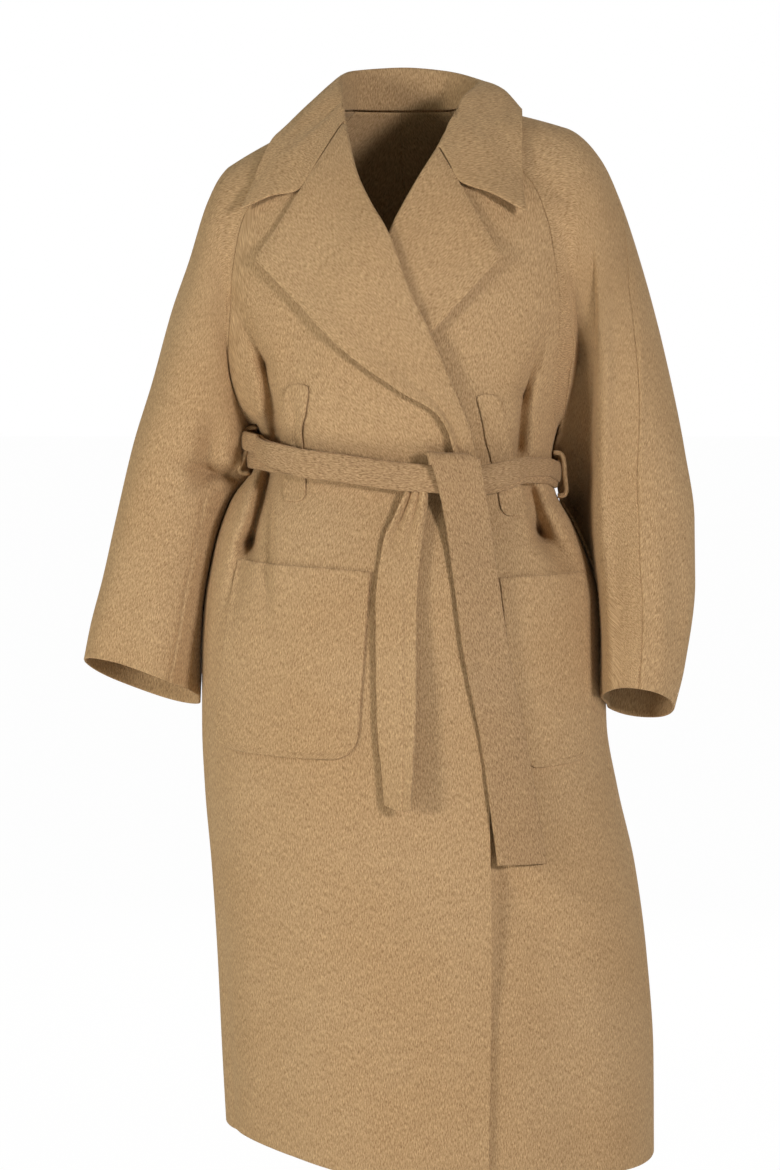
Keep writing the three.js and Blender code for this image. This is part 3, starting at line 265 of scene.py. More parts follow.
NECK_POINT = {Side.RIGHT: np.array([-76.0, 5, -13]), Side.LEFT: np.array([80.0, 5, -7])}
NECK_SHARE = 0.94
EDGE_ROWS = {
    Side.RIGHT: [
        (-1135, 88), (-900, 91), (-803, 90), (-654, 84), (-528, 74), (-424, 68), (-405, 72), (-380, 73),
        (-348, 65), (-307, 49), (-253, 27), (-211, 7), (-151, -16), (-118, -34), (-81, -50), (-32, -61),
    ],
    Side.LEFT: [
        (-1135, -78), (-800, -78), (-500, -72), (-372, -70), (-345, -68), (-300, -60), (-230, -44),
        (-150, -16), (-100, 10), (-59, 35),
    ],
}
OVERLAP_ROWS = [(-1135, 5.5), (-440, 5.5), (-385, 6), (-352, 10.6), (-160, 10.6), (-95, 3), (-50, 0)]
OVERLAP_RAMP = 62


@dataclass(frozen=True)
class LapelPattern:
    """Where a lapel breaks, ends and is notched, and its outer edge as (share, x, z)."""

    break_z: float
    gorge_z: float
    outer: tuple
    notch: tuple[float, float]
    start_row: int


LAPELS = {
    Side.RIGHT: LapelPattern(
        -405, -32,
        (
            (0, 66, -405), (0.1, 54, -376), (0.24, 33, -333), (0.42, -3, -311), (0.62, -47, -280),
            (1, -151, -175),
        ),
        (-106.5, -102), 13,
    ),
    Side.LEFT: LapelPattern(
        -345, -59, ((0, -62, -345), (0.5, 12, -268), (1, 101, -172)), (58, -95), 16,
    ),
}

FRONT_FOLDS = straight([
    (-178, -215, -146, -283, -3, -10, 9), (-146, -283, -133, -372, -10, -20, 8),
    (-145, -402, -163, -474, -36, -27, 8), (-164, -474, -184, -556, -22, -2, 12),
    (151, -243, 126, -315, -3, -11, 8), (126, -315, 122, -372, -11, -18, 8),
    (136, -418, 147, -462, -22, -24, 8), (147, -462, 182, -506, -24, -4, 11),
    (40, -860, 30, -1130, 1, 5, 60), (150, -850, 190, -1130, -1, -9, 34),
    (-120, -820, -120, -1130, -1, -6, 40),
])
BACK_FOLDS = straight([
    (-120, -240, -92, -366, -1, -13, 12), (-60, -270, -44, -366, -1, -9, 10), (4, -290, 8, -366, 0, -6, 9),
    (68, -260, 56, -366, -1, -10, 10), (124, -240, 100, -366, -1, -13, 12),
    (-96, -418, -132, -560, -15, -2, 13),
    (-46, -418, -62, -540, -10, -1, 11), (12, -418, 16, -520, -8, -1, 10), (58, -418, 78, -545, -11, -1, 11),
    (102, -418, 140, -560, -15, -2, 13), (-60, -760, -70, -1130, -1, -10, 44),
    (90, -760, 110, -1130, -1, -10, 46),
])
# Small creases on top of the large folds
FRONT_CREASES = (
    Crease(
        ((-184, -196, -1, 8), (-162, -237, -5, 8), (-146, -283, -9, 8), (-135, -330, -11, 7),
        (-128, -384, -11, 6)),
        side=-1,
    ),
    Crease(((-136, -296, 0, 5), (-124, -345, -5, 4.5), (-116, -388, -7, 4.5)), side=-1),
    Crease(((-124, -296, 0, 5), (-110, -335, -3.5, 4), (-103, -386, -5, 4))),
    Crease(((-158, -262, 2, 8), (-151, -320, 4, 8), (-147, -360, 3, 7))),
    Crease(((168, -226, -1, 8), (141, -266, -5, 8), (124, -330, -10, 8), (118, -388, -11, 7)), side=1),
    Crease(((141, -290, 1, 8), (138, -340, 4, 9), (137, -372, 3, 8))),
    Crease(((104, -340, 0, 4), (100, -378, -2, 4))),
    Crease(
        ((-138, -392, -10, 5), (-139, -430, -17, 8), (-140, -470, -17, 14), (-141, -510, -9, 18),
        (-142, -556, 0, 20)),
        side=-1,
    ),
    Crease(((-153, -405, 4, 9), (-172, -455, 7, 11), (-190, -505, 4, 14))),
    Crease(
        ((124, -404, -6, 6), (131, -440, -15, 8), (146, -470, -15, 10), (166, -492, -8, 12),
        (184, -504, 0, 14)),
        side=1,
    ),
    Crease(((142, -412, 3, 9), (166, -447, 6, 11), (196, -494, 4, 13))),
    Crease(((-70, -410, -0.4, 7), (-76, -470, -1.2, 12), (-78, -530, 0, 16))),
    Crease(((97, -790, -2, 8), (98, -830, -10, 14), (98, -880, -7, 20), (98, -960, 0, 24)), side=1),
    Crease(((104, -806, -1, 9), (124, -850, -5, 14), (150, -884, -3, 20), (176, -905, 0, 24))),
    Crease(((118, -800, 2, 12), (160, -836, 6, 16), (214, -864, 4, 22))),
    Crease(((-196, -800, 0, 4), (-190, -900, -4, 4), (-183, -1020, -5.5, 4), (-176, -1130, -5, 4))),
    Crease(((-30, -700, 0, 26), (-34, -900, 1.6, 40), (-40, -1120, 2.6, 46))),
    Crease(((10, -560, 0, 14), (18, -760, -1.2, 20), (26, -960, 0, 26))),
    Crease(((196, -700, 0, 16), (214, -790, 2.5, 20), (236, -900, 1, 26))),
)
BACK_CREASES = (
    Crease(((-150, -250, 0, 6), (-128, -310, -3, 6), (-112, -372, -5, 5))),
    Crease(((-92, -262, 0, 6), (-74, -320, -2.4, 5), (-66, -374, -4, 5))),
    Crease(((-30, -300, 0, 5), (-20, -340, -2, 5), (-16, -376, -3, 4))),
    Crease(((34, -280, 0, 6), (32, -330, -2.4, 5), (30, -376, -4, 4))),
    Crease(((98, -268, 0, 6), (82, -322, -3, 5), (74, -374, -4.5, 5))),
    Crease(((156, -246, 0, 6), (130, -312, -3, 6), (116, -374, -5, 5))),
    Crease(((-120, -412, -5, 5), (-150, -490, -3, 8), (-172, -560, 0, 12))),
    Crease(((-72, -412, -4, 5), (-88, -500, -2, 8), (-96, -580, 0, 12))),
    Crease(((-18, -412, -3, 5), (-26, -490, -1.6, 8), (-28, -560, 0, 12))),
    Crease(((36, -412, -4, 5), (44, -500, -2, 8), (50, -570, 0, 12))),
    Crease(((82, -412, -4, 5), (104, -490, -2.4, 8), (118, -570, 0, 12))),
    Crease(((124, -412, -5, 5), (152, -490, -3, 8), (170, -556, 0, 12))),
    Crease(((-10, -120, 0, 30), (-6, -200, -2.6, 34), (4, -290, 0, 30))),
    Crease(((-130, -130, 0, 22), (-96, -200, -2, 24), (-70, -270, 0, 22))),
    Crease(((120, -130, 0, 22), (92, -200, -2, 24), (70, -270, 0, 22))),
)

SLEEVE_COLUMNS = "ux uz ox oz y front back bow tip under over"
SLEEVE_ROWS = {
    Side.RIGHT: [
        (0.08, -175, -350, -129, -42, 4, 72, 78, 35, 0, 26, 180),
        (0.16, -177, -355, -188, -75, 5, 77, 80, 11, 0, 26, 180),
        (0.23, -177, -361, -206, -106, 6, 81, 80, 9, 0, 26, 181),
        (0.32, -176, -370, -228, -172, 7, 84, 80, 6, 0, 28, 182),
        (0.4, -174, -384, -247, -224, 9, 84, 79, 3, 0, 31, 183),
        (0.52, -174, -407, -270, -305, 11, 80, 76, 0, 3, 36, 184),
        (0.62, -178, -434, -290, -370, 10, 74, 73, 0, 6, 40, 185),
        (0.73, -187, -475, -309, -451, 6, 68, 69, 0, 9, 42, 185),
        (0.84, -199, -535, -323, -515, -1, 64, 65, 0, 12, 42, 185),
        (0.93, -210, -592, -336, -566, -8, 60, 61, 0, 14, 42, 185),
        (1, -219, -646, -343, -603, -14, 57, 58, 0, 16, 42, 185),
    ],
    Side.LEFT: [
        (0.08, 164, -350, 125, -18, 4, 76, 80, 28, 0, 26, 178),
        (0.16, 165, -355, 179, -33, 4, 80, 82, 10, 0, 24, 174),
        (0.23, 167, -361, 210, -63, 4, 82, 82, 6, 0, 20, 166),
        (0.31, 171, -371, 231, -106, 3, 84, 82, 3, 0, 12, 156),
        (0.4, 179, -392, 253, -171, 0, 84, 81, 0, 2, 0, 128),
        (0.52, 184, -422, 279, -268, -6, 80, 77, 0, 4, -14, 112),
        (0.64, 190, -460, 301, -376, -17, 74, 71, 0, 8, -24, 94),
        (0.74, 197, -500, 311, -451, -29, 70, 66, 0, 12, -30, 88),
        (0.83, 203, -545, 311, -516, -42, 66, 61, 0, 15, -34, 85),
        (0.94, 208, -605, 299, -606, -58, 60, 56, 0, 18, -34, 87),
        (1, 212, -638, 288, -650, -64, 57, 54, 0, 20, -34, 87),
    ],
}
SLEEVE_SQUARE = 2.15
SLEEVE_CLEAR = 2.2
FIRST_RING = 0.08
SLEEVE_FOLDS = {
    Side.RIGHT: straight([
        (-214, -340, -222, -402, -3, -12, 11), (-240, -412, -204, -400, -2, -10, 9),
        (-270, -330, -296, -600, 0, -5, 24),
    ]),
    Side.LEFT: straight([
        (178, -150, 188, -270, -2, -15, 13), (188, -270, 197, -440, -13, -22, 15),
        (197, -440, 204, -520, -22, -12, 14),
        (268, -180, 288, -560, -1, -6, 12),
    ]),
}
# Where each sleeve turns away towards the body: (z, x of the edge, depth), and the width of the turn. The
# left sleeve's turn comes back within the reach, and the right one's stays
RECESS_REACH, RECESS_SHARE = 42, 0.9
SLEEVE_RECESS = {
    Side.RIGHT: (
        [(-330, -180, 0), (-369, -184, 14), (-395, -198, 26), (-425, -221, 34), (-562, -237, 28),
        (-646, -254, 22)], 44,
    ),
    Side.LEFT: ([(-150, 204, 0), (-230, 210, 13), (-330, 212, 42), (-450, 213, 62), (-640, 213, 56)], 2.5),
}
# How far the underside is drawn in towards the body and back: sideways, back
SLEEVE_TUCK = {Side.RIGHT: (30, 40), Side.LEFT: (14, 26)}
SLEEVE_CREASES = {
    Side.RIGHT: (
        Crease(((-191, -300, 0, 8), (-186, -340, -9, 8), (-190, -372, -12, 7))),
        Crease((
            (-190, -372, -1, 2.2), (-200, -396, -2.6, 2.2), (-224, -426, -2.6, 2.2), (-239, -562, -2.4, 2.2),
            (-256, -650, -2.2, 2.2),
        )),
        Crease(((-252, -380, 0, 9), (-232, -392, -11, 8), (-206, -402, -13, 7))),
        Crease(((-206, -330, 0, 9), (-214, -360, -6, 9), (-222, -392, -7, 8))),
        Crease(((-226, -330, 0, 9), (-238, -400, 4, 10), (-240, -450, 1, 12))),
        Crease(((-206, -430, 0, 8), (-226, -470, -2, 9), (-246, -520, 0, 12))),
        Crease(((-200, -140, 0, 14), (-222, -230, -2, 16), (-246, -330, 0, 18))),
        Crease(((-290, -480, 0, 16), (-300, -540, -2.4, 16), (-308, -620, -2, 16))),
        Crease(((-252, -520, 0, 16), (-262, -570, 2, 16), (-270, -640, 2, 16))),
    ),
    Side.LEFT: (
        Crease(((213, -196, 1, 6), (217, -300, 7, 7), (218, -480, 9, 7), (218, -646, 6, 7))),
        Crease(((262, -140, 0, 9), (290, -300, -3, 10), (300, -450, -4, 10), (284, -640, -3, 10))),
        Crease(((224, -100, 0, 4), (251, -215, 1.6, 4), (254, -427, 2, 4), (253, -630, 1.4, 4))),
        Crease(((236, -240, 0, 10), (233, -400, -2, 12), (232, -600, -1, 12))),
        Crease(((214, -110, 0, 12), (224, -160, -1.6, 14), (232, -220, 0, 14))),
    ),
}

# Seam, roll, middle and outer points of each section, from the wearer's right round the neck to the left
COLLAR_SECTIONS = [
    (-67, -40, -31, -64, -32, -14, -101, -52, -60, -166, -74, -108),
    (-72, -18, -20, -67, -10, 6, -104, -28, -22, -147, -44, -66),
    (-73, 12, -8, -68, 16, 22, -96, 10, 0, -119, 4, -26),
    (-60, 46, -4, -58, 50, 33, -80, 64, 4, -94, 78, -34),
    (-32, 68, -3, -31, 73, 38, -46, 95, 2, -58, 112, -45),
    (0, 75, -2, 2, 80, 40, 2, 104, 3, 2, 122, -46),
    (34, 69, -3, 38, 74, 37, 54, 94, 4, 64, 111, -44),
    (62, 46, -2, 68, 50, 29, 90, 62, 6, 104, 74, -32),
    (76, 12, -1, 81, 17, 19, 107, 12, 12, 127, 6, -11),
    (74, -20, -14, 66, -18, 3, 97, -32, -18, 125, -42, -52),
    (56, -50, -40, 49, -47, -30, 84, -66, -59, 122, -72, -92),
]
COLLAR_RISE, COLLAR_LIFT, COLLAR_CLEAR, STAND_LIFT, COLLAR_GAP = 2.1, 6.6, 5.6, 3.4, 0.5
# x, z and lift of each tip
COLLAR_TIPS = {Side.RIGHT: (-163, -125, 15), Side.LEFT: (121, -131, 23)}

POCKETS = {
    Side.RIGHT: {
        "top": (-491, -501), "bottom": (-688, -695), "outer": (-176, -203), "inner": (-34, -48), "corner": 26,
    },
    Side.LEFT: {
        "top": (-505, -507), "bottom": (-699, -706), "outer": (189, 199), "inner": (100, 120), "corner": 26,
    },
}
TABS = {
    Side.RIGHT: {"x": (-107, -117), "z": (-303, -430), "width": 25},
    Side.LEFT: {"x": (86, 118), "z": (-314, -444), "width": 24},
}
END_COLUMNS = "x0 x1 lift0 lift1"
LONG_END = [
    (-381, 27, 79, 33, 33), (-400, 33, 83, 34, 34), (-430, 40, 88, 27, 27), (-470, 47, 94, 17, 17),
    (-571, 60, 108, 12.5, 10), (-676, 80, 128, 12, 9), (-804, 98, 150, 13, 11),
]
SHORT_END = [
    (-412, 4, 25, 16, 19), (-440, -9, 23, 15, 17), (-465, -20, 20, 13, 16), (-530, -29, 14, 13, 17),
    (-635, -28, 13, 12, 26), (-740, -19, 8, 13, 34),
]
LOOPS = {Side.RIGHT: (-351, -400), Side.LEFT: (-378, -424)}
SKIRT = [0, 0.1, 0.2, 0.3, 0.4, 0.49, 0.57, 0.64, 0.7, 0.755, 0.805, 0.85, 0.885, 0.913, 0.94, 0.968, 1]
ARMHOLE = [min((1 - math.cos(math.pi * i / 13)) / 2 / NECK_SHARE, 1) for i in range(13)]

HEM_Z = Track(*zip(*HEM_ROWS))
BELT = tracks(BELT_ROWS, "z width lift")
EDGES = {side: Track(*zip(*rows)) for side, rows in EDGE_ROWS.items()}
OVERLAP = Track(*zip(*OVERLAP_ROWS))


# ---------------------------------------------------------------- the body's surface


class Torso:
    """The coat's body: rounded sections drawn in at the belt, with folds in front and behind."""

    def __init__(self) -> None:
        """Reads the tables of the sections and the raglan seams."""
        self.table = tracks(TORSO_ROWS, "right left front back")
        self.raglans: dict[tuple[Side, bool], Track] = {}
        for side in Side:
            self.raglans[side, False] = self._raglan(side, RAGLAN_ROWS[side], False)
            self.raglans[side, True] = self._raglan(side, RAGLAN_BACK, True)

    def section(self, z: Array) -> tuple[Array, ...]:
        """Args: heights. Returns: middle, half width, and depth in front and behind."""
        right, left = self.table["right"](z), self.table["left"](z)
        return (left - right) / 2, (left + right) / 2, self.table["front"](z), self.table["back"](z)

    def waist_shift(self, z: Array, angle: Array) -> Array:
        """Args: place. Returns: how far the narrowest line lies from its usual height there."""
        middle = BELT["z"](angle)
        return (middle - WAIST_Z) * (1 - smooth(np.abs(z - middle), 40, 150))

    def point(self, z: Array, angle: Array, fine: bool = False) -> Array:
        """Args: height, degrees round from the front, whether small creases show. Returns: the surface."""
        z, angle = np.broadcast_arrays(np.asarray(z, float), np.asarray(angle, float))
        angle = np.where(angle > 180, angle - 360, angle)
        middle, half, front, back = self.section(z - self.waist_shift(z, angle))
        turn = np.radians(angle)
        x = middle + half * power(np.sin(turn), 2 / SQUARE)
        forward = power(np.cos(turn), 2 / SQUARE)
        y = np.where(forward > 0, -front * forward, -back * forward)
        facing = smooth(np.abs(forward), 0, 0.35)
        ahead = -fold_height(FRONT_FOLDS, x, z)
        behind = fold_height(BACK_FOLDS, x, z)
        if fine:
            ahead -= sum(c.height(x, z) for c in FRONT_CREASES)
            behind += sum(c.height(x, z) for c in BACK_CREASES)
        return np.stack([x, y + np.where(forward > 0, ahead, behind) * facing, z], -1)

    def normal(self, z: Array, angle: Array) -> Array:
        """Args: place. Returns: the outward direction there."""
        up = self.point(z + PROBE_MM, angle) - self.point(z - PROBE_MM, angle)
        across = self.point(z, angle + PROBE_DEGREES) - self.point(z, angle - PROBE_DEGREES)
        return unit(np.cross(across, up))

    def lifted(self, z: Array, angle: Array, lift: Array, fine: bool = False) -> Array:
        """Args: place and stand-off. Returns: the point standing off the surface."""
        normal = self.normal(z, angle)
        return self.point(z, angle, fine) + normal * np.asarray(lift)[..., None]

    def angle_of(self, x: Array, z: Array, behind: bool = False) -> Array:
        """Args: x, height, and whether the back is meant. Returns: the angle that reaches that x."""
        x, z = np.broadcast_arrays(np.asarray(x, float), np.asarray(z, float))
        rough = 180 - x / 2 if behind else x / 2
        middle, half, _, _ = self.section(z - self.waist_shift(z, np.where(rough > 180, rough - 360, rough)))
        share = np.clip((x - middle) / half, -1, 1)
        angle = np.degrees(np.arcsin(power(share, SQUARE / 2)))
        return 180 - angle if behind else angle

    def _raglan(self, side: Side, rows: list[tuple], behind: bool) -> Track:
        """Args: side, rows of height and x, front or back. Returns: that seam's angle at each height."""
        sign, places = side.value, []
        for z, x in rows:
            angle = float(self.angle_of(sign * x, z, behind))
            places.append((z, sign * (360 - angle if angle > 180 else angle) if behind else angle))
        places.append((UNDERARM_Z, sign * SIDE_SEAM))
        return Track(*zip(*places))

    def raglan(self, side: Side, z: Array, behind: bool) -> Array:
        """Args: side, height, front or back. Returns: the raglan seam's angle."""
        return self.raglans[side, behind](z)

    def raglan_top(self, side: Side, behind: bool) -> float:
        """Args: side, front or back. Returns: the height where that raglan seam starts."""
        return RAGLAN_BACK[0][0] if behind else RAGLAN_ROWS[side][0][0]

    def front_lift(self, side: Side, x: Array, z: Array) -> Array:
        """Args: side and place. Returns: how far that front stands off where it laps over the other."""
        if side is Side.LEFT:
            return np.zeros(np.broadcast(x, z).shape)
        hidden = EDGES[Side.LEFT](z)
        t = np.clip((x - hidden + 10 + OVERLAP_RAMP) / OVERLAP_RAMP, 0, 1)
        return OVERLAP(z) * t * t * (3 - 2 * t)

    def on_front(
        self, side: Side, x: Array, z: Array, lift: Array, fine: bool = False
    ) -> Array:
        """Args: side, place seen from the front, stand-off. Returns: the point on that front."""
        x, z = np.broadcast_arrays(np.asarray(x, float), np.asarray(z, float))
        return self.lifted(z, self.angle_of(x, z), self.front_lift(side, x, z) + lift, fine)


TORSO = Torso()


# ---------------------------------------------------------------- cloth as meshes


def grid_normals(grid: Array) -> Array:
    """Args: a grid whose columns run to the wearer's left and rows up. Returns: outward directions."""
    across = np.empty_like(grid)
    across[:, 1:-1] = grid[:, 2:] - grid[:, :-2]
    across[:, 0], across[:, -1] = grid[:, 1] - grid[:, 0], grid[:, -1] - grid[:, -2]
    up = np.empty_like(grid)
    up[1:-1] = grid[2:] - grid[:-2]
    up[0], up[-1] = grid[1] - grid[0], grid[-1] - grid[-2]
    return unit(np.cross(across, up))


def refine(grid: Array, factor: int, axis: int) -> Array:
    """Args: a grid, how many steps each of its steps becomes, and the axis. Returns: it on smooth curves."""
    g = np.moveaxis(grid, axis, 0)
    count = len(g)
    at = np.linspace(0, count - 1, (count - 1) * factor + 1)
    i = np.minimum(at.astype(int), count - 2)
    t = (at - i).reshape(-1, *([1] * (g.ndim - 1)))
    before = np.where((i > 0).reshape(t.shape), g[np.maximum(i - 1, 0)], 2 * g[i] - g[i + 1])
    far = np.minimum(i + 2, count - 1)
    after = np.where((i + 2 < count).reshape(t.shape), g[far], 2 * g[i + 1] - g[i])
    m0, m1 = (g[i + 1] - before) / 2, (after - g[i]) / 2
    a, b = 2 * t**3 - 3 * t**2 + 1, t**3 - 2 * t**2 + t
    c, d = 3 * t**2 - 2 * t**3, t**3 - t**2
    return np.moveaxis(a * g[i] + b * m0 + c * g[i + 1] + d * m1, 0, axis)


def evened(values: Array, axis: int, reach: int = 10) -> Array:
    """Args: a grid of values, the axis and how many neighbours count on each side. Returns: running means."""
    v = np.moveaxis(values, axis, 0)
    for _ in range(2):
        padded = np.concatenate([np.repeat(v[:1], reach, 0), v, np.repeat(v[-1:], reach, 0)])
        total = np.concatenate([np.zeros_like(v[:1]), padded.cumsum(0)])
        v = (total[2 * reach + 1 :] - total[: -2 * reach - 1]) / (2 * reach + 1)
    return np.moveaxis(v, 0, axis)


@dataclass
class Cloth:
    """A piece of cloth as a thin closed shell over a grid of middle points in mm.

    edges says how the bottom, top, first and last edges are finished."""

    name: str
    grid: Array
    thick: float = CLOTH
    edges: tuple[Edge, Edge, Edge, Edge] = (Edge.FREE,) * 4
    waviness: float = 0.25

    def bordered(self) -> tuple[Array, Array]:
        """Returns: the grid with rows added beside its edges, and the share of thickness at each point."""
        grid = self.grid
        share = np.ones(grid.shape[:2])
        for number, edge in enumerate(self.edges):
            axis, last = divmod(number, 2)
            g = np.moveaxis(grid, axis, 0)
            s = np.moveaxis(share, axis, 0)
            if last:
                g, s = g[::-1], s[::-1]
            first, second = g[0], g[1]
            span = np.linalg.norm(second - first, axis=-1, keepdims=True)
            rows, shares = [], []
            for distance, factor in EDGE_PROFILES[edge]:
                rows.append(mix(first, second, np.clip(distance / np.maximum(span, 1e-6), 0, 0.9)))
                shares.append(np.minimum(s[0], factor))
            g = np.concatenate([np.stack(rows), g[1:]])
            s = np.concatenate([np.stack(shares), s[1:]])
            if last:
                g, s = g[::-1], s[::-1]
            grid, share = np.moveaxis(g, 0, axis), np.moveaxis(s, 0, axis)
        return grid, share

    def build(self, material: Material) -> Object:
        """Args: material. Returns: the new object, riding on the root."""
        grid, share = self.bordered()
        rows, columns = grid.shape[:2]
        normals = grid_normals(grid)
        half = normals * (share * self.thick / 2)[..., None]
        points = np.concatenate([(grid + half).reshape(-1, 3), (grid - half).reshape(-1, 3)])
        index = np.arange(rows * columns).reshape(rows, columns)
        inner = index + rows * columns
        quad = lambda a, b, c, d: np.stack([a, b, c, d], -1).reshape(-1, 4)
        faces = np.concatenate([
            quad(index[:-1, :-1], index[:-1, 1:], index[1:, 1:], index[1:, :-1]),
            quad(inner[:-1, :-1], inner[1:, :-1], inner[1:, 1:], inner[:-1, 1:]),
            quad(index[:-1, 0], index[1:, 0], inner[1:, 0], inner[:-1, 0]),
            quad(index[1:, -1], index[:-1, -1], inner[:-1, -1], inner[1:, -1]),
            quad(index[0, 1:], index[0, :-1], inner[0, :-1], inner[0, 1:]),
            quad(index[-1, :-1], index[-1, 1:], inner[-1, 1:], inner[-1, :-1]),
        ])
        across = np.linalg.norm(np.diff(grid, axis=1), axis=-1).cumsum(1)
        along = np.linalg.norm(np.diff(grid, axis=0), axis=-1).cumsum(0)
        u = np.concatenate([np.zeros((rows, 1)), across], 1)
        u = evened(u - u[:, columns // 2 : columns // 2 + 1], 0)
        v = np.concatenate([np.zeros((1, columns)), along], 0)
        v = evened(v - v[rows // 2 : rows // 2 + 1], 1)
        uv = np.stack([u, v], -1).reshape(-1, 2) * MM
        return mesh_object(self.name, points, faces, np.concatenate([uv, uv + 0.37]), material)


def mesh_object(
    name: str,
    points: Array,
    faces: Array,
    uv: Array,
    material: Material,
    triangles: Array = np.empty((0, 3), int),
) -> Object:
    """Args: name, points in mm, four-sided faces, a uv in metres for each point, material, triangles.
    Returns: the object."""
    mesh = bpy.data.meshes.new(name)
    mesh.vertices.add(len(points))
    mesh.vertices.foreach_set("co", (points * MM).astype(np.float32).ravel())
    corners = np.concatenate([faces.ravel(), triangles.ravel()]).astype(np.int32)
    starts = np.concatenate([np.arange(len(faces)) * 4, faces.size + np.arange(len(triangles)) * 3])
    mesh.loops.add(len(corners))
    mesh.loops.foreach_set("vertex_index", corners)
    mesh.polygons.add(len(starts))
    mesh.polygons.foreach_set("loop_start", starts.astype(np.int32))
    mesh.polygons.foreach_set("use_smooth", np.ones(len(starts), bool))
    layer = mesh.uv_layers.new(name="nap")
    layer.data.foreach_set("uv", uv[corners].astype(np.float32).ravel())
    mesh.update(calc_edges=True)
    mesh.validate()
    mesh.materials.append(material)
    made = bpy.data.objects.new(name, mesh)
    bpy.context.scene.collection.objects.link(made)
    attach(made, "root")
    LOG.info("%s: %d faces", name, len(mesh.polygons))
    return made


def tube(
    name: str, centres: Array, outlines: Array, material: Material, closed: bool = False
) -> Object:
    """Args: name, middle points, the outline of points round each, material, and whether it runs round.
    Returns: a closed bar along the middle points."""
    stations, count = outlines.shape[:2]
    points = outlines.reshape(-1, 3)
    i, j = np.meshgrid(np.arange(stations if closed else stations - 1), np.arange(count), indexing="ij")
    nxt, turn = (i + 1) % stations, (j + 1) % count
    corners = [i * count + j, nxt * count + j, nxt * count + turn, i * count + turn]
    faces = np.stack(corners, -1).reshape(-1, 4)
    along = np.concatenate([[0], np.linalg.norm(np.diff(centres, axis=0), axis=-1).cumsum()])
    round_ = np.linalg.norm(outlines - np.roll(outlines, 1, 1), axis=-1).mean(0).cumsum()
    uv = np.stack(np.broadcast_arrays(round_[None, :], along[:, None]), -1).reshape(-1, 2) * MM
    caps = []
    for end, flip in () if closed else ((0, 1), (stations - 1, -1)):
        points = np.concatenate([points, outlines[end].mean(0)[None]])
        uv = np.concatenate([uv, uv[end * count : end * count + 1]])
        ring = end * count + np.arange(count)
        caps.append(np.stack([ring, np.roll(ring, -1), np.full(count, len(points) - 1)][::flip], -1))
    triangles = np.concatenate(caps) if caps else np.empty((0, 3), int)
    return mesh_object(name, points, faces, uv, material, triangles)


# ---------------------------------------------------------------- the panels


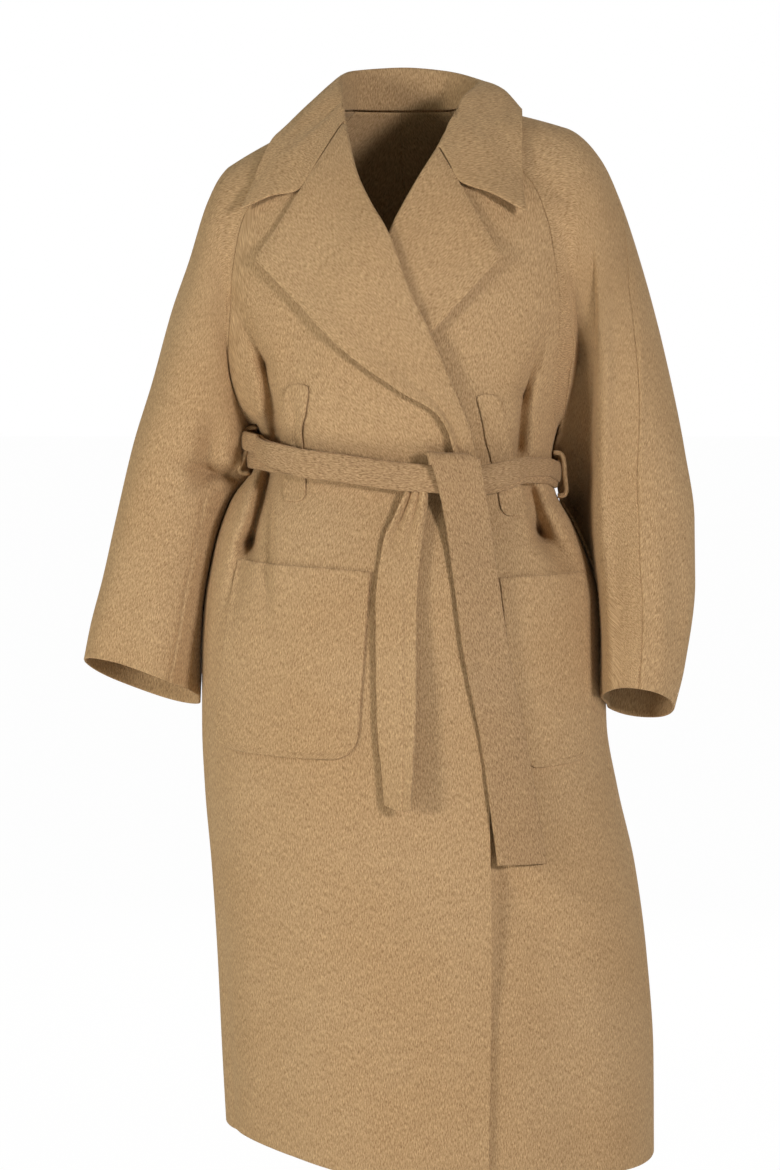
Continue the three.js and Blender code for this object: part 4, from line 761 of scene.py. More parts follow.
@dataclass
class Front:
    """A front cut in one with its lapel: columns from the side seam over the roll line to the free edge."""

    side: Side
    rows: int = 264
    columns: int = 104
    roll: int = 10
    lapel: int = 44
    flat: float = 3.0
    rise_power: float = 0.92

    def __post_init__(self) -> None:
        """Places the rows along the side seam and the armhole."""
        sign = self.side.value
        hem = float(HEM_Z(sign * SIDE_SEAM))
        skirt = [mix(hem, UNDERARM_Z, t) for t in SKIRT]
        top = TORSO.raglan_top(self.side, False)
        chest = [mix(UNDERARM_Z, top, t) for t in ARMHOLE[1:]]
        self.side_z = np.array(skirt + chest)
        self.last = len(self.side_z) - 1
        self.index = self._spaced()

    def _spaced(self) -> Array:
        """Returns: row places, evenly spread over the height of the side seam and armhole."""
        length = np.concatenate([[0], np.abs(np.diff(self.side_z)).cumsum()])
        even = np.interp(np.arange(self.last + 1), [0, 16, self.last], [0, 0.66, 1])
        mixed = 0.75 * length / length[-1] + 0.25 * even
        return np.interp(np.linspace(0, 1, self.rows), mixed, np.arange(self.last + 1))

    def side_angle(self, z: Array) -> Array:
        """Args: heights along the seam. Returns: the angle of the side seam or raglan seam."""
        angle = TORSO.raglan(self.side, z, False)
        return np.where(z <= UNDERARM_Z, self.side.value * SIDE_SEAM, angle)

    def grid(self) -> tuple[Array, Array]:
        """Returns: the grid with its columns towards the wearer's left, and its body part alone."""
        side, sign, pattern = self.side, self.side.value, LAPELS[self.side]
        radius = LAPEL_LIFT / 2
        roll_length = math.pi * radius
        f = self.index
        side_z = np.interp(f, np.arange(self.last + 1), self.side_z)
        share = np.interp(f, np.arange(len(SKIRT)), SKIRT)
        start, top = pattern.start_row, self.last
        edges = EDGES[side]
        hem_angle = float(TORSO.angle_of(edges.values[0], edges.knots[0]))
        break_z = self.side_z[start]
        risen = np.clip((f - start) / (top - start), 0, 1)
        low = mix(float(HEM_Z(hem_angle)), UNDERARM_Z, share)
        broken = low[np.argmin(np.abs(f - start))]
        turned = mix(break_z, pattern.gorge_z, risen**self.rise_power)
        edge_z = np.where(f <= start, low, mix(broken, turned, smooth(f, start, start + 2)))
        edge_x = edges(edge_z)
        fold = smooth(edge_z, pattern.break_z - 6, pattern.break_z + 12)
        inset = mix(roll_length + self.flat, radius, fold)
        last_x = edge_x + sign * inset
        u = np.linspace(0, 1, self.columns)
        eased = u * u * (3 - 2 * u)
        level = mix(side_z[:, None], edge_z[:, None], eased[None])
        angle = mix(self.side_angle(side_z)[:, None], TORSO.angle_of(last_x[:, None], level), u[None])
        hung = mix(HEM_Z(angle), UNDERARM_Z, share[:, None])
        z = mix(hung, level, smooth(f, start - 2, start)[:, None])
        bare = TORSO.point(z, angle)[..., 0]
        body = TORSO.lifted(z, angle, TORSO.front_lift(side, bare, z), fine=True)
        root = body[:, -1]
        root_angle = TORSO.angle_of(last_x, edge_z)
        out = TORSO.normal(edge_z, root_angle)
        beyond = unit(TORSO.on_front(side, edge_x, edge_z, 0) - root)
        turn = np.maximum(math.pi * fold, 0.02)[:, None, None]
        a = (np.arange(1, self.roll + 1) / self.roll)[None, :, None]
        r = roll_length / turn
        rolled = root[:, None] + beyond[:, None] * (r * np.sin(turn * a))
        rolled = rolled + out[:, None] * (r * (1 - np.cos(turn * a)))
        leave = beyond[:, None] * np.cos(turn) + out[:, None] * np.sin(turn)
        outer = tracks(pattern.outer, "x z")
        tip_x, tip_z = outer["x"](risen), outer["z"](risen)
        s = (np.arange(1, self.lapel + 1) / self.lapel)[None, :]
        along = rolled[:, -1:] + leave * (self.flat * s[..., None])
        x = mix(last_x[:, None], tip_x[:, None], s)
        zz = mix(edge_z[:, None], tip_z[:, None], s)
        bulge = LAPEL_LIFT + 1.5 * np.sin(math.pi * s) + 5 * smooth(s, 0.72, 1)
        laid = TORSO.on_front(side, x, zz, bulge)
        opened = smooth(edge_z, pattern.break_z + 8, pattern.break_z + 30)[:, None, None]
        grid = np.concatenate([body, rolled, mix(along, laid, opened)], 1)
        if sign > 0:
            grid, body = grid[:, ::-1], body[:, ::-1]
        return grid, body

    def build(self, wool: Material) -> None:
        """Args: the wool. Builds the front in place of its solid."""
        grid, _ = self.grid()
        seam, free = Edge.SEAM, Edge.FREE
        sides = (seam, free) if self.side is Side.RIGHT else (free, seam)
        name = f"front_{self.side.word}"
        made = Cloth(f"{name}_cloth", grid, edges=(free, free, *sides)).build(wool)
        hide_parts(name)


@dataclass
class Back:
    """One half of the back, from the side seam to the seam down the middle."""

    side: Side
    rows: int = 220
    columns: int = 72
    skirt_share: float = 0.68

    def build(self, wool: Material) -> None:
        """Args: the wool. Builds the half in place of its solid."""
        top = TORSO.raglan_top(Side.LEFT, True)
        z = np.interp(np.linspace(0, 1, self.rows), [0, self.skirt_share, 1], [0, 1, 2])
        share = np.clip(z, 0, 1)
        row_z = np.where(z <= 1, UNDERARM_Z, mix(UNDERARM_Z, top, np.clip(z - 1, 0, 1)))
        start = np.where(z <= 1, SIDE_SEAM, TORSO.raglan(Side.LEFT, row_z, True))
        end = np.where(z <= 1, 360 - SIDE_SEAM, 360 + TORSO.raglan(Side.RIGHT, row_z, True))
        u = np.linspace(0, 0.5, self.columns) + (0 if self.side is Side.LEFT else 0.5)
        angle = mix(start[:, None], end[:, None], u[None])
        hem = HEM_Z(np.where(angle > 180, angle - 360, angle))
        level = mix(hem, row_z[:, None], share[:, None])
        grid = TORSO.point(level, angle, fine=True)
        name = f"back_{self.side.word}"
        edges = (Edge.FREE, Edge.FREE, Edge.SEAM, Edge.SEAM)
        made = Cloth(f"{name}_cloth", grid, edges=edges).build(wool)
        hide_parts(name)


@dataclass
class Sleeve:
    """A raglan sleeve of two halves, front and back, on rings from the armhole to the cuff."""

    side: Side
    rows: int = 165
    columns: int = 108
    eased_rows: int = 26
    eased_times: int = 30

    def __post_init__(self) -> None:
        """Reads the table of the sleeve's rings."""
        self.table = tracks(SLEEVE_ROWS[self.side], SLEEVE_COLUMNS)

    def clear_of_body(self, point: Array, gap: Array) -> Array:
        """Args: points and gap. Returns: them moved out, clear of the body below the armpit."""
        angle = np.degrees(np.arctan2(point[..., 0], -point[..., 1]))
        middle, half, front, back = TORSO.section(point[..., 2] - TORSO.waist_shift(point[..., 2], angle))
        depth = np.where(point[..., 1] < 0, front, back)
        across = point[..., 0] - middle
        squares = np.abs(across / half) ** SQUARE + np.abs(point[..., 1] / depth) ** SQUARE
        reach = squares ** (1 / SQUARE)
        need = 1 + gap * reach / np.hypot(across, point[..., 1])
        grow = mix(1, need / reach, smooth(-point[..., 2], 150, 240))
        grow = np.where(reach >= need, 1, grow)
        return np.stack([middle + across * grow, point[..., 1] * grow, point[..., 2]], -1)

    def ring(self, at: Array, turn: Array) -> Array:
        """Args: place along and degrees round. Returns: the sleeve's surface there."""
        row = {name: track(at) for name, track in self.table.items()}
        o = np.stack([row["ox"], row["y"], row["oz"]], -1)
        u = np.stack([row["ux"], row["y"], row["uz"]], -1)
        half = (o - u) / 2
        tip = np.radians(row["tip"])
        zero = np.zeros_like(tip)
        ahead = np.stack([zero, -np.cos(tip), np.sin(tip)], -1)
        outward = unit(np.stack([-half[..., 2], zero, half[..., 0]], -1))
        outward = np.where(outward[..., :1] * self.side.value < 0, -outward, outward)
        a = np.radians(turn)
        across = power(np.sin(a), 2 / SLEEVE_SQUARE)
        reach = np.where(across > 0, row["front"], row["back"])
        point = (
            u + half
            - half * power(np.cos(a), 2 / SLEEVE_SQUARE)[..., None]
            + ahead * (reach * across)[..., None]
            + outward * (row["bow"] * np.abs(across))[..., None]
        )
        x, z = point[..., 0], point[..., 2]
        height = fold_height(SLEEVE_FOLDS[self.side], x, z)
        height = height + sum(c.height(x, z) for c in SLEEVE_CREASES[self.side]) - self.recess(x, z)
        inward, backward = SLEEVE_TUCK[self.side]
        tuck = smooth(at, 0.03, 0.26) * (1 - smooth(at, 0.62, 0.92)) * ((1 + np.cos(a)) / 2) ** 2
        point[..., 0] -= self.side.value * inward * tuck
        point[..., 1] += backward * tuck
        point[..., 1] -= height * smooth(across, 0, 0.5)
        point[..., 1] += self.back_folds(at, turn) * smooth(-across, 0, 0.5)
        return self.clear_of_body(point, SLEEVE_CLEAR * smooth(at, 0, 0.3) + 2.5)

    def recess(self, x: Array, z: Array) -> Array:
        """Args: places seen from the front. Returns: how far the sleeve falls back towards the body there."""
        rows, width = SLEEVE_RECESS[self.side]
        line = tracks(rows, "x depth")
        inside = (line["x"](z) - x) * self.side.value
        if self.side is Side.LEFT:
            return line["depth"](z) * smooth(inside, 0, width) * (1 - smooth(inside, width, RECESS_REACH))
        share = np.clip(inside / width, 0, 1)
        return line["depth"](z) * share * (2 - share) * RECESS_SHARE

    def back_folds(self, at: Array, turn: Array) -> Array:
        """Args: place on the sleeve. Returns: the height of the folds behind the elbow."""
        sign = self.side.value
        wave = np.sin((turn - 270 + sign * 40 * at) / 11.0) * 1.6
        elbow = np.exp(-(((at - 0.62) / 0.16) ** 2)) * np.sin(at * 46 + turn / 40.0) * 2.2
        return wave * smooth(at, 0.3, 0.7) + elbow

    def armhole(self, turn: Array) -> Array:
        """Args: degrees round. Returns: the loop that the sleeve starts from."""
        share = (1 - np.cos(np.radians(turn))) / 2
        place = np.minimum(share / NECK_SHARE, 1)
        points = []
        for behind in (False, True):
            z = mix(UNDERARM_Z, TORSO.raglan_top(self.side, behind), place)
            points.append(TORSO.point(z, TORSO.raglan(self.side, z, behind), fine=True))
        point = np.where((turn > 180)[..., None], points[1], points[0])
        along = np.clip((share - NECK_SHARE) / (1 - NECK_SHARE), 0, 1)[..., None]
        return mix(point, NECK_POINT[self.side], along)

    def surface(self, at: Array, turn: Array) -> Array:
        """Args: place. Returns: the surface, straight from the armhole to the first ring, then rings."""
        at, turn = np.broadcast_arrays(np.asarray(at, float), np.asarray(turn, float))
        ring = self.ring(np.maximum(at, FIRST_RING), turn)
        t = np.clip(at / FIRST_RING, 0, 1)[..., None]
        return mix(self.armhole(turn), ring, t)

    def normal(self, at: Array, turn: Array) -> Array:
        """Args: place. Returns: outward direction."""
        ahead = self.surface(np.minimum(at + 0.004, 1), turn) - self.surface(np.maximum(at - 0.004, 0), turn)
        around = self.surface(at, turn + 1) - self.surface(at, turn - 1)
        normal = unit(np.cross(ahead, around))
        return -normal if self.side is Side.RIGHT else normal

    def build(self, wool: Material) -> None:
        """Args: the wool. Builds both halves in place of their solids."""
        at = np.concatenate([np.linspace(0, FIRST_RING, 14)[:-1], np.linspace(FIRST_RING, 1, self.rows)])
        step = smooth(at, FIRST_RING * 0.5, FIRST_RING * 2.2)
        under = mix(0, self.table["under"](np.maximum(at, FIRST_RING)), step)
        over = mix(180, self.table["over"](np.maximum(at, FIRST_RING)), step)
        for behind in (False, True):
            share = np.linspace(0, 1, self.columns)[None]
            low, high = (over, 360 + under) if behind else (under, over)
            turn = mix(low[:, None], high[:, None], share)
            grid = self.surface(at[:, None], turn)
            grid = self.eased(grid)[::-1]
            if self.side is Side.RIGHT:
                grid = grid[:, ::-1]
            half = "back" if behind else "front"
            name = f"sleeve_{self.side.word}_{half}"
            edges = (Edge.FREE, Edge.SEAM, Edge.SEAM, Edge.SEAM)
            made = Cloth(f"{name}_cloth", grid, edges=edges).build(wool)
            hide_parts(name)

    def eased(self, grid: Array) -> Array:
        """Args: the grid from the armhole down. Returns: it with the bend at the first ring rounded off."""
        out = grid.copy()
        end = self.eased_rows
        for _ in range(self.eased_times):
            out[1:end] = out[1:end] * 0.5 + (out[: end - 1] + out[2 : end + 1]) * 0.25
        return out


# ---------------------------------------------------------------- the collar


@dataclass
class Collar:
    """The collar with its stand, resting on the shoulders and meeting each lapel's top edge."""

    columns: int = 32
    steps: int = 6
    finer: tuple[int, int] = (7, 5)

    def neckline(self, fronts: dict[Side, Array]) -> Array:
        """Args: each front's body grid. Returns: the line that the collar is sewn to."""
        right = fronts[Side.RIGHT][-1][::-1]
        left = fronts[Side.LEFT][-1][::-1]
        top = TORSO.raglan_top(Side.LEFT, True)
        start = TORSO.raglan(Side.LEFT, top, True)
        end = 360 + TORSO.raglan(Side.RIGHT, top, True)
        behind = TORSO.point(np.full(60, top), np.linspace(float(end), float(start), 60))
        corners = {side: NECK_POINT[side][None] for side in Side}
        path = np.concatenate([right, corners[Side.RIGHT], behind, corners[Side.LEFT], left])
        fine = np.linspace(0, len(path) - 1, len(path) * 4)
        return np.stack([np.interp(fine, np.arange(len(path)), path[:, k]) for k in range(3)], -1)

    def shoulders(self) -> tuple[Array, Array]:
        """Returns: points and outward directions of the cloth that the collar lies on."""
        points, normals = [], []
        for side in Side:
            sleeve = Sleeve(side)
            at, turn = np.meshgrid(np.arange(0.01, 0.4, 0.012), np.arange(20.0, 340, 3))
            points.append(sleeve.surface(at, turn).reshape(-1, 3))
            normals.append(sleeve.normal(at, turn).reshape(-1, 3))
            z, x = np.meshgrid(np.arange(-190.0, -24, 4), np.arange(20.0, 185, 4))
            x = x * side.value
            angle = TORSO.angle_of(x, z)
            kept = np.abs(angle) < np.abs(TORSO.raglan(side, z, False))
            points.append(TORSO.on_front(side, x, z, 0)[kept])
            normals.append(TORSO.normal(z, angle)[kept])
        z, angle = np.meshgrid(np.arange(-90.0, -8, 4), np.arange(140.0, 221, 3))
        points.append(TORSO.point(z, angle).reshape(-1, 3))
        normals.append(TORSO.normal(z, angle).reshape(-1, 3))
        return np.concatenate(points), np.concatenate(normals)

    def rested(self, points: Array, lift: Array) -> Array:
        """Args: points and how far each stands off. Returns: them lifted clear of the shoulders."""
        moved = points.reshape(-1, 3).copy()
        lift = np.broadcast_to(lift, points.shape[:-1]).reshape(-1)
        for _ in range(3):
            for first in range(0, len(moved), 500):
                part = moved[first : first + 500]
                gap = ((part[:, None] - self.below[None]) ** 2).sum(-1)
                near = gap.argmin(1)
                normal = self.directions[near]
                height = ((part - self.below[near]) * normal).sum(-1)
                part += normal * np.maximum(lift[first : first + 500] - height, 0)[:, None]
        return moved.reshape(points.shape)

    def end(self, side: Side) -> Array:
        """Args: side. Returns: the collar's front edge, along the lapel to the notch and on to its tip."""
        pattern, sign = LAPELS[side], side.value
        x = float(EDGES[side](pattern.gorge_z))
        dx, dz = sign * COLLAR_GAP * 0.85, COLLAR_GAP * 0.53
        place = lambda px, pz, lift: TORSO.on_front(side, px + dx, pz + dz, np.float64(lift))
        nx, nz = pattern.notch
        tx, tz, lift = COLLAR_TIPS[side]
        top = LAPEL_LIFT + 1.5
        return np.stack([
            place(x + sign * 3, pattern.gorge_z, 0),
            place(x, pattern.gorge_z, LAPEL_LIFT / 2),
            place(x + sign * 3, pattern.gorge_z, LAPEL_LIFT),
            place((x + sign * 3 + nx) / 2, (pattern.gorge_z + nz) / 2, top),
            place(nx, nz, top),
            place((nx + tx) / 2, (nz + tz) / 2 + 2.5, (top + lift) / 2),
            TORSO.on_front(side, tx, tz, np.float64(lift)),
        ])

    def section_curve(self, four: Array) -> Array:
        """Args: seam, roll, middle and outer points of each section. Returns: the points along it."""
        ext = np.concatenate([2 * four[:, :1] - four[:, 1:2], four, 2 * four[:, -1:] - four[:, -2:-1]], 1)
        out = []
        for k in range(self.steps + 1):
            p = 3 * k / self.steps
            i = min(int(p), 2)
            w = p - i
            p0, p1, p2, p3 = (ext[:, i + j] for j in range(4))
            pairs = ((p0, p1), (p1, p2), (p2, p3))
            d = [np.sqrt(np.linalg.norm(b - a, axis=-1, keepdims=True)) for a, b in pairs]
            t1 = ((p1 - p0) / d[0] - (p2 - p0) / (d[0] + d[1]) + (p2 - p1) / d[1]) * d[1]
            t2 = ((p2 - p1) / d[1] - (p3 - p1) / (d[1] + d[2]) + (p3 - p2) / d[2]) * d[1]
            bend, twist = -3 * p1 + 3 * p2 - 2 * t1 - t2, 2 * p1 - 2 * p2 + t1 + t2
            out.append(p1 + t1 * w + bend * w**2 + twist * w**3)
        return np.stack(out, 1)

    def build(self, wool: Material, fronts: dict[Side, Array]) -> None:
        """Args: the wool and each front's body grid. Builds the collar in place of its solid."""
        self.below, self.directions = self.shoulders()
        seam_line = self.neckline(fronts)
        t = np.linspace(0, 1, self.columns - 1)
        knots = np.linspace(0, 1, len(COLLAR_SECTIONS))
        table = np.array([[Track(knots, c)(v) for c in zip(*COLLAR_SECTIONS)] for v in t])
        four = table.reshape(len(t), 4, 3)
        near = ((four[:, 0, None] - seam_line[None]) ** 2).sum(-1).argmin(1)
        four[:, 0] = seam_line[near] + np.array([0, 0, COLLAR_RISE])
        curve = self.section_curve(four)
        lift = np.where(np.arange(self.steps + 1) > 2, COLLAR_LIFT, STAND_LIFT)
        curve[:, 1:] = self.rested(curve[:, 1:], np.broadcast_to(lift[1:], curve[:, 1:].shape[:-1]))
        grid = np.concatenate([self.end(Side.RIGHT)[None], curve, self.end(Side.LEFT)[None]])
        upward = np.swapaxes(grid, 0, 1)[::-1]
        upward = refine(refine(upward, self.finer[0], 0), self.finer[1], 1)
        inside = np.s_[:-8, 6:-6]
        upward[inside] = self.rested(upward[inside], COLLAR_CLEAR)
        edges = (Edge.FREE, Edge.SEAM, Edge.FREE, Edge.FREE)
        made = Cloth("collar_cloth", upward, edges=edges).build(wool)
        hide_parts("collar")


# ---------------------------------------------------------------- pockets and tabs


@dataclass
class Pocket:
    """A patch pocket with rounded lower corners and a stitched edge."""

    side: Side
    rows: int = 72
    columns: int = 62
    stitch_inset: float = 6.5

    def flat(self, u: Array, v: Array) -> tuple[Array, Array]:
        """Args: shares across, from the outer side, and up. Returns: x and z seen from the front."""
        p = POCKETS[self.side]
        outer, inner = mix(p["outer"][1], p["outer"][0], v), mix(p["inner"][1], p["inner"][0], v)
        x = mix(outer, inner, u)
        bow = 1.6 * np.sin(math.pi * u) * (1 - v)
        z = mix(mix(*p["bottom"], u), mix(*p["top"], u), v)
        return x, z - bow

    def build(self, wool: Material) -> None:
        """Args: the wool. Builds the pocket in place of its solid."""
        p = POCKETS[self.side]
        width = abs(p["inner"][0] - p["outer"][0])
        height = abs(p["bottom"][0] - p["top"][0])
        cx, cz = p["corner"] / width, p["corner"] / height
        corner = cz * (1 - np.cos(np.linspace(0, math.pi / 2, 18)))
        v = np.concatenate([corner, np.linspace(cz, 1, self.rows - 17)[1:]])
        near = np.clip(1 - v / cz, 0, 1)
        inset = cx * (1 - np.sqrt(np.maximum(0, 1 - near**2)))
        s = np.linspace(0, 1, self.columns)
        u = mix(inset[:, None], 1 - inset[:, None], s[None])
        x, z = self.flat(u, np.broadcast_to(v[:, None], u.shape))
        wave = value_noise(x / 9, z / 9, 3) * 0.3
        beside_edge = np.minimum(s, 1 - s)[None] * width
        border = np.minimum(beside_edge, np.minimum(v, 1 - v)[:, None] * height)
        ridge = 0.5 * np.exp(-(((border - 3.4) / 2.2) ** 2))
        ridge -= 0.7 * np.exp(-(((border - self.stitch_inset) / 0.9) ** 2))
        mouth = 2.2 * np.sin(math.pi * s[None]) * smooth(v[:, None], 0.86, 1)
        lift = CLOTH + 0.25 + wave + ridge + mouth
        grid = TORSO.on_front(self.side, x, z, lift, fine=True)
        if self.side is Side.LEFT:
            grid = grid[:, ::-1]
        name = f"pocket_{self.side.word}"
        made = Cloth(f"{name}_cloth", grid).build(wool)
        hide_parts(name)


@dataclass
class Tab:
    """A flat strip stitched down at the waist, which the belt crosses."""

    side: Side
    rows: int = 70
    columns: int = 14

    def build(self, wool: Material) -> None:
        """Args: the wool. Builds the tab in place of its solid."""
        p = TABS[self.side]
        t, s = np.linspace(0, 1, self.rows), np.linspace(-0.5, 0.5, self.columns)
        length = p["z"][0] - p["z"][1]
        end = np.minimum(t, 1 - t) * length
        narrow = 1 - 0.16 * (1 - smooth(end, 0, 7))
        half = p["width"] * narrow
        x = mix(p["x"][1], p["x"][0], t)[:, None] + s[None] * half[:, None]
        point = 2.2 * (np.abs(s) * 2) ** 2
        pointing = np.where(t < 0.5, 1, -1) * (1 - smooth(end, 0, 12))
        z = mix(p["z"][1], p["z"][0], t)[:, None] + point[None] * pointing[:, None]
        side_gap = (0.5 - np.abs(s))[None] * p["width"]
        gap = np.minimum(side_gap, end[:, None])
        ridge = 0.35 * np.exp(-(((gap - 2.6) / 1.6) ** 2)) - 0.45 * np.exp(-(((gap - 4.8) / 0.8) ** 2))
        grid = TORSO.on_front(self.side, x, z, CLOTH + 0.1 + ridge, fine=True)
        name = f"waist_tab_{self.side.word}"
        made = Cloth(f"{name}_cloth", grid, thick=2.0).build(wool)
        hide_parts(name)


# ---------------------------------------------------------------- the belt


@dataclass
class Belt:
    """The tie belt: its band folded along its length, the half knot, the two hanging ends and the loops."""

    stations: int = 260
    around: int = 40
    lap_start: float = -98
    lap_end: float = 10

    def centre(
        self, angle: Array, stand: float | Array = 4.0
    ) -> tuple[Array, Array]:
        """Args: angles, and the depth from the cloth. Returns: middle points and outward directions."""
        wrapped = lambda a: (a + 540) % 360 - 180
        bare = lambda z, a: TORSO.point(z, wrapped(a))
        z, width, lift = (BELT[name](angle) for name in ("z", "width", "lift"))
        chord = bare(z, angle + 6) - bare(z, angle - 6)
        out = unit(np.cross(chord, np.array([0, 0, 1.0])))
        level = bare(z, angle)
        reach = width / 2 + 1
        under = np.max([
            ((bare(z + share * reach, angle + turn) - level) * out).sum(-1)
            for share in (-1, -0.5, 0, 0.5, 1) for turn in (-5, 0, 5)
        ], axis=0)
        mode = "wrap" if angle[-1] - angle[0] > 300 else "edge"
        under = np.convolve(np.pad(under, 3, mode), np.ones(7) / 7, "valid")
        centre = level + out * ((under + lift)[:, None] + stand)
        return centre, out

    def ring(self, width: Array, thick: Array, form: Array) -> tuple[Array, Array]:
        """Args: width, thickness and flatness of the face at each station. Returns: offsets out and up."""
        a = math.pi + np.linspace(0, 2 * math.pi, self.around, endpoint=False)[None]
        up = power(np.sin(a), 2 / form) * width[:, None] / 2
        out = power(np.cos(a), 2 / form) * thick[:, None] / 2
        return out, up

    def strap(
        self, name: str, angles: Array, rise: Array, width: Array, thick: Array,
        wool: Material, closed: bool = False, stand: float | Array = 4.0, form: float = 2.6,
        pressed: Array | None = None,
    ) -> Object:
        """Args: name, angles, height above the belt's middle, width, thickness, wool, whether it runs round,
        its distance from the cloth, how flat its face is, and where a groove is pressed in.
        Returns: a folded strap."""
        centre, out = self.centre(angles, stand=stand)
        centre[:, 2] += rise
        off, up = self.ring(width, thick, np.full((len(angles), 1), form))
        crease = np.sin(angles / 3.1)[:, None] * 0.35 + value_noise(angles[:, None] / 7, up / 9, 11) * 0.5
        if pressed is not None:
            deep = 3.6 * smooth(angles, self.lap_start, self.lap_start + 8)
            deep = deep * (1 - smooth(angles, 0, self.lap_end))
            crease = crease - deep[:, None] * np.exp(-(((up - pressed[:, None]) / 2.0) ** 2))
        off = off + np.where(off > 0, crease, 0)
        outline = centre[:, None] + out[:, None] * off[..., None]
        outline[..., 2] += up
        return tube(name, centre, outline, wool, closed)

    def lap_edge(self, angles: Array) -> tuple[Array, Array]:
        """Args: angles. Returns: the upper and lower edge of the crossing fold, from the band's middle."""
        high = BELT["width"](angles) / 2 + 0.8
        across = TORSO.point(np.full_like(angles, WAIST_Z), angles)[:, 0]
        begun = smooth(angles, self.lap_start, self.lap_start + 8)
        return high, mix(0.0, -high, smooth(across, -158, -92) * begun)

    def build(self, wool: Material, shaded_wool: Material) -> None:
        """Args: the wool, and its darker copy with painted shade. Builds the belt in place of its solids."""
        angles = np.linspace(-180, 180, self.stations, endpoint=False)
        width = BELT["width"](angles)
        thick = np.full_like(angles, 7.6)
        waver = value_noise(angles / 16, angles * 0, 5) * 0.6
        # The band, its folds, the knot and the long end take the darker copy of the wool: painted shade
        band = self.strap(
            "belt_band_cloth", angles, waver, width, thick + waver * 0.5, shaded_wool, closed=True, form=2.2,
            pressed=self.lap_edge(angles)[1] - 1.4,
        )
        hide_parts("belt_band")
        right = np.linspace(self.lap_start, self.lap_end, 130)
        high, low = self.lap_edge(right)
        lap = self.strap(
            "belt_fold_right", right, (high + low) / 2, high - low, np.full_like(right, 7.0), shaded_wool,
            stand=mix(7.0, 11.2, smooth(right, -94, -74))[:, None], form=3.0,
        )
        left = np.linspace(24, 84, 64)
        rise, width, thick = (np.full_like(left, size) for size in (-12.5, 11.0, 6.0))
        under = self.strap("belt_fold_left", left, rise, width, thick, shaded_wool, stand=1.0, form=1.9)
        self.long_end(shaded_wool)
        self.short_end(wool)
        for side in Side:
            self.loop(side, wool)

    def end_grid(self, table: list[tuple], z: Array, s: Array) -> Array:
        """Args: the end's table, heights and shares across. Returns: its middle surface."""
        t = tracks(table, END_COLUMNS)
        x = mix(t["x0"](z)[:, None], t["x1"](z)[:, None], s[None])
        lift = mix(t["lift0"](z)[:, None], t["lift1"](z)[:, None], s[None])
        zz = np.broadcast_to(z[:, None], x.shape)
        base = TORSO.point(zz, TORSO.angle_of(x, zz))
        return np.stack([x, base[..., 1] - lift, zz], -1)

    def long_end(self, wool: Material) -> None:
        """Args: the wool. Builds the long end and the turn that carries it over the band."""
        rows, s = 170, np.linspace(0, 1, 30)
        z = np.linspace(LONG_END[-1][0], LONG_END[0][0], rows)
        grid = self.end_grid(LONG_END, z, s)
        edge = np.minimum(s, 1 - s)[None] * 52
        swell = 1.3 * (1 - np.exp(-((edge / 5) ** 2))) + 0.35 * np.exp(-(((edge - 4) / 2) ** 2))
        wave = value_noise(s[None] * 3, z[:, None] / 46, 21) * 1.3
        grid[..., 1] -= swell * 0.5 + wave * smooth(-z, 420, 520)[:, None]
        grid[..., 0] += (value_noise(z / 11, z * 0, 9) * 0.35)[:, None]
        body = Cloth("belt_end_long_cloth", grid, thick=5.0).build(wool)
        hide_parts("belt_end_long")
        self.knot(wool, s)

    def knot(self, wool: Material, s: Array) -> None:
        """Args: the wool and shares across. Builds the turn over the band, with its folded upper corner."""
        first = LONG_END[0]
        path = [
            (-392, 16.5), (-386, 19.2), (-380, 21.5), (-376.6, 26), (-377.5, 31.2), (-382, 33.6), (-388, 34),
        ]
        knots = np.arange(len(path))
        at = np.linspace(0, len(path) - 1, 40)
        z, lift = (Track(knots, column)(at) for column in zip(*path))
        crown = np.sin(np.pi * np.clip(at / 6, 0, 1))[:, None] ** 2
        x = mix(first[1] - 0.5, first[2] - 0.5, s[None]) + crown * mix(-2.5, -3.5, s[None])
        base = TORSO.point(np.full_like(x, first[0]), TORSO.angle_of(x, first[0]))[..., 1]
        corner = np.exp(-(((s - 0.08) / 0.1) ** 2))
        dip = crown * (3.2 * smooth(s, 0.72, 1) - 2.2 * corner + 0.8 * s)[None]
        grid = np.stack([x, base - lift[:, None], z[:, None] - dip], -1)[::-1]
        made = Cloth("belt_knot_cloth", grid, thick=3.6).build(wool)
        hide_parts("belt_knot")

    def short_end(self, wool: Material) -> None:
        """Args: the wool. Builds the short end, gathered where it leaves the band."""
        rows, s = 150, np.linspace(0, 1, 34)
        z = np.linspace(SHORT_END[-1][0], SHORT_END[0][0], rows)
        grid = self.end_grid(SHORT_END, z, s)
        gather = smooth(z, -500, -425)[:, None]
        pleats = np.sin(s[None] * 15.5 + 0.9) * 2.6 + np.sin(s[None] * 7.4 + 2.2) * 1.6
        turned = 1 - smooth(s[None], 0.62, 0.72)
        ridge = 2.0 * turned * smooth(-z, 480, 560)[:, None]
        grid[..., 1] -= pleats * gather + ridge
        grid[..., 0] += (value_noise(z / 13, z * 0, 4) * 0.4)[:, None]
        tip = smooth(-z, 728, 740)[:, None]
        grid[..., 2] -= 4.8 * np.sin(math.pi * 0.8 * s)[None] * tip
        made = Cloth("belt_end_short_cloth", grid, thick=4.4).build(wool)
        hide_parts("belt_end_short")

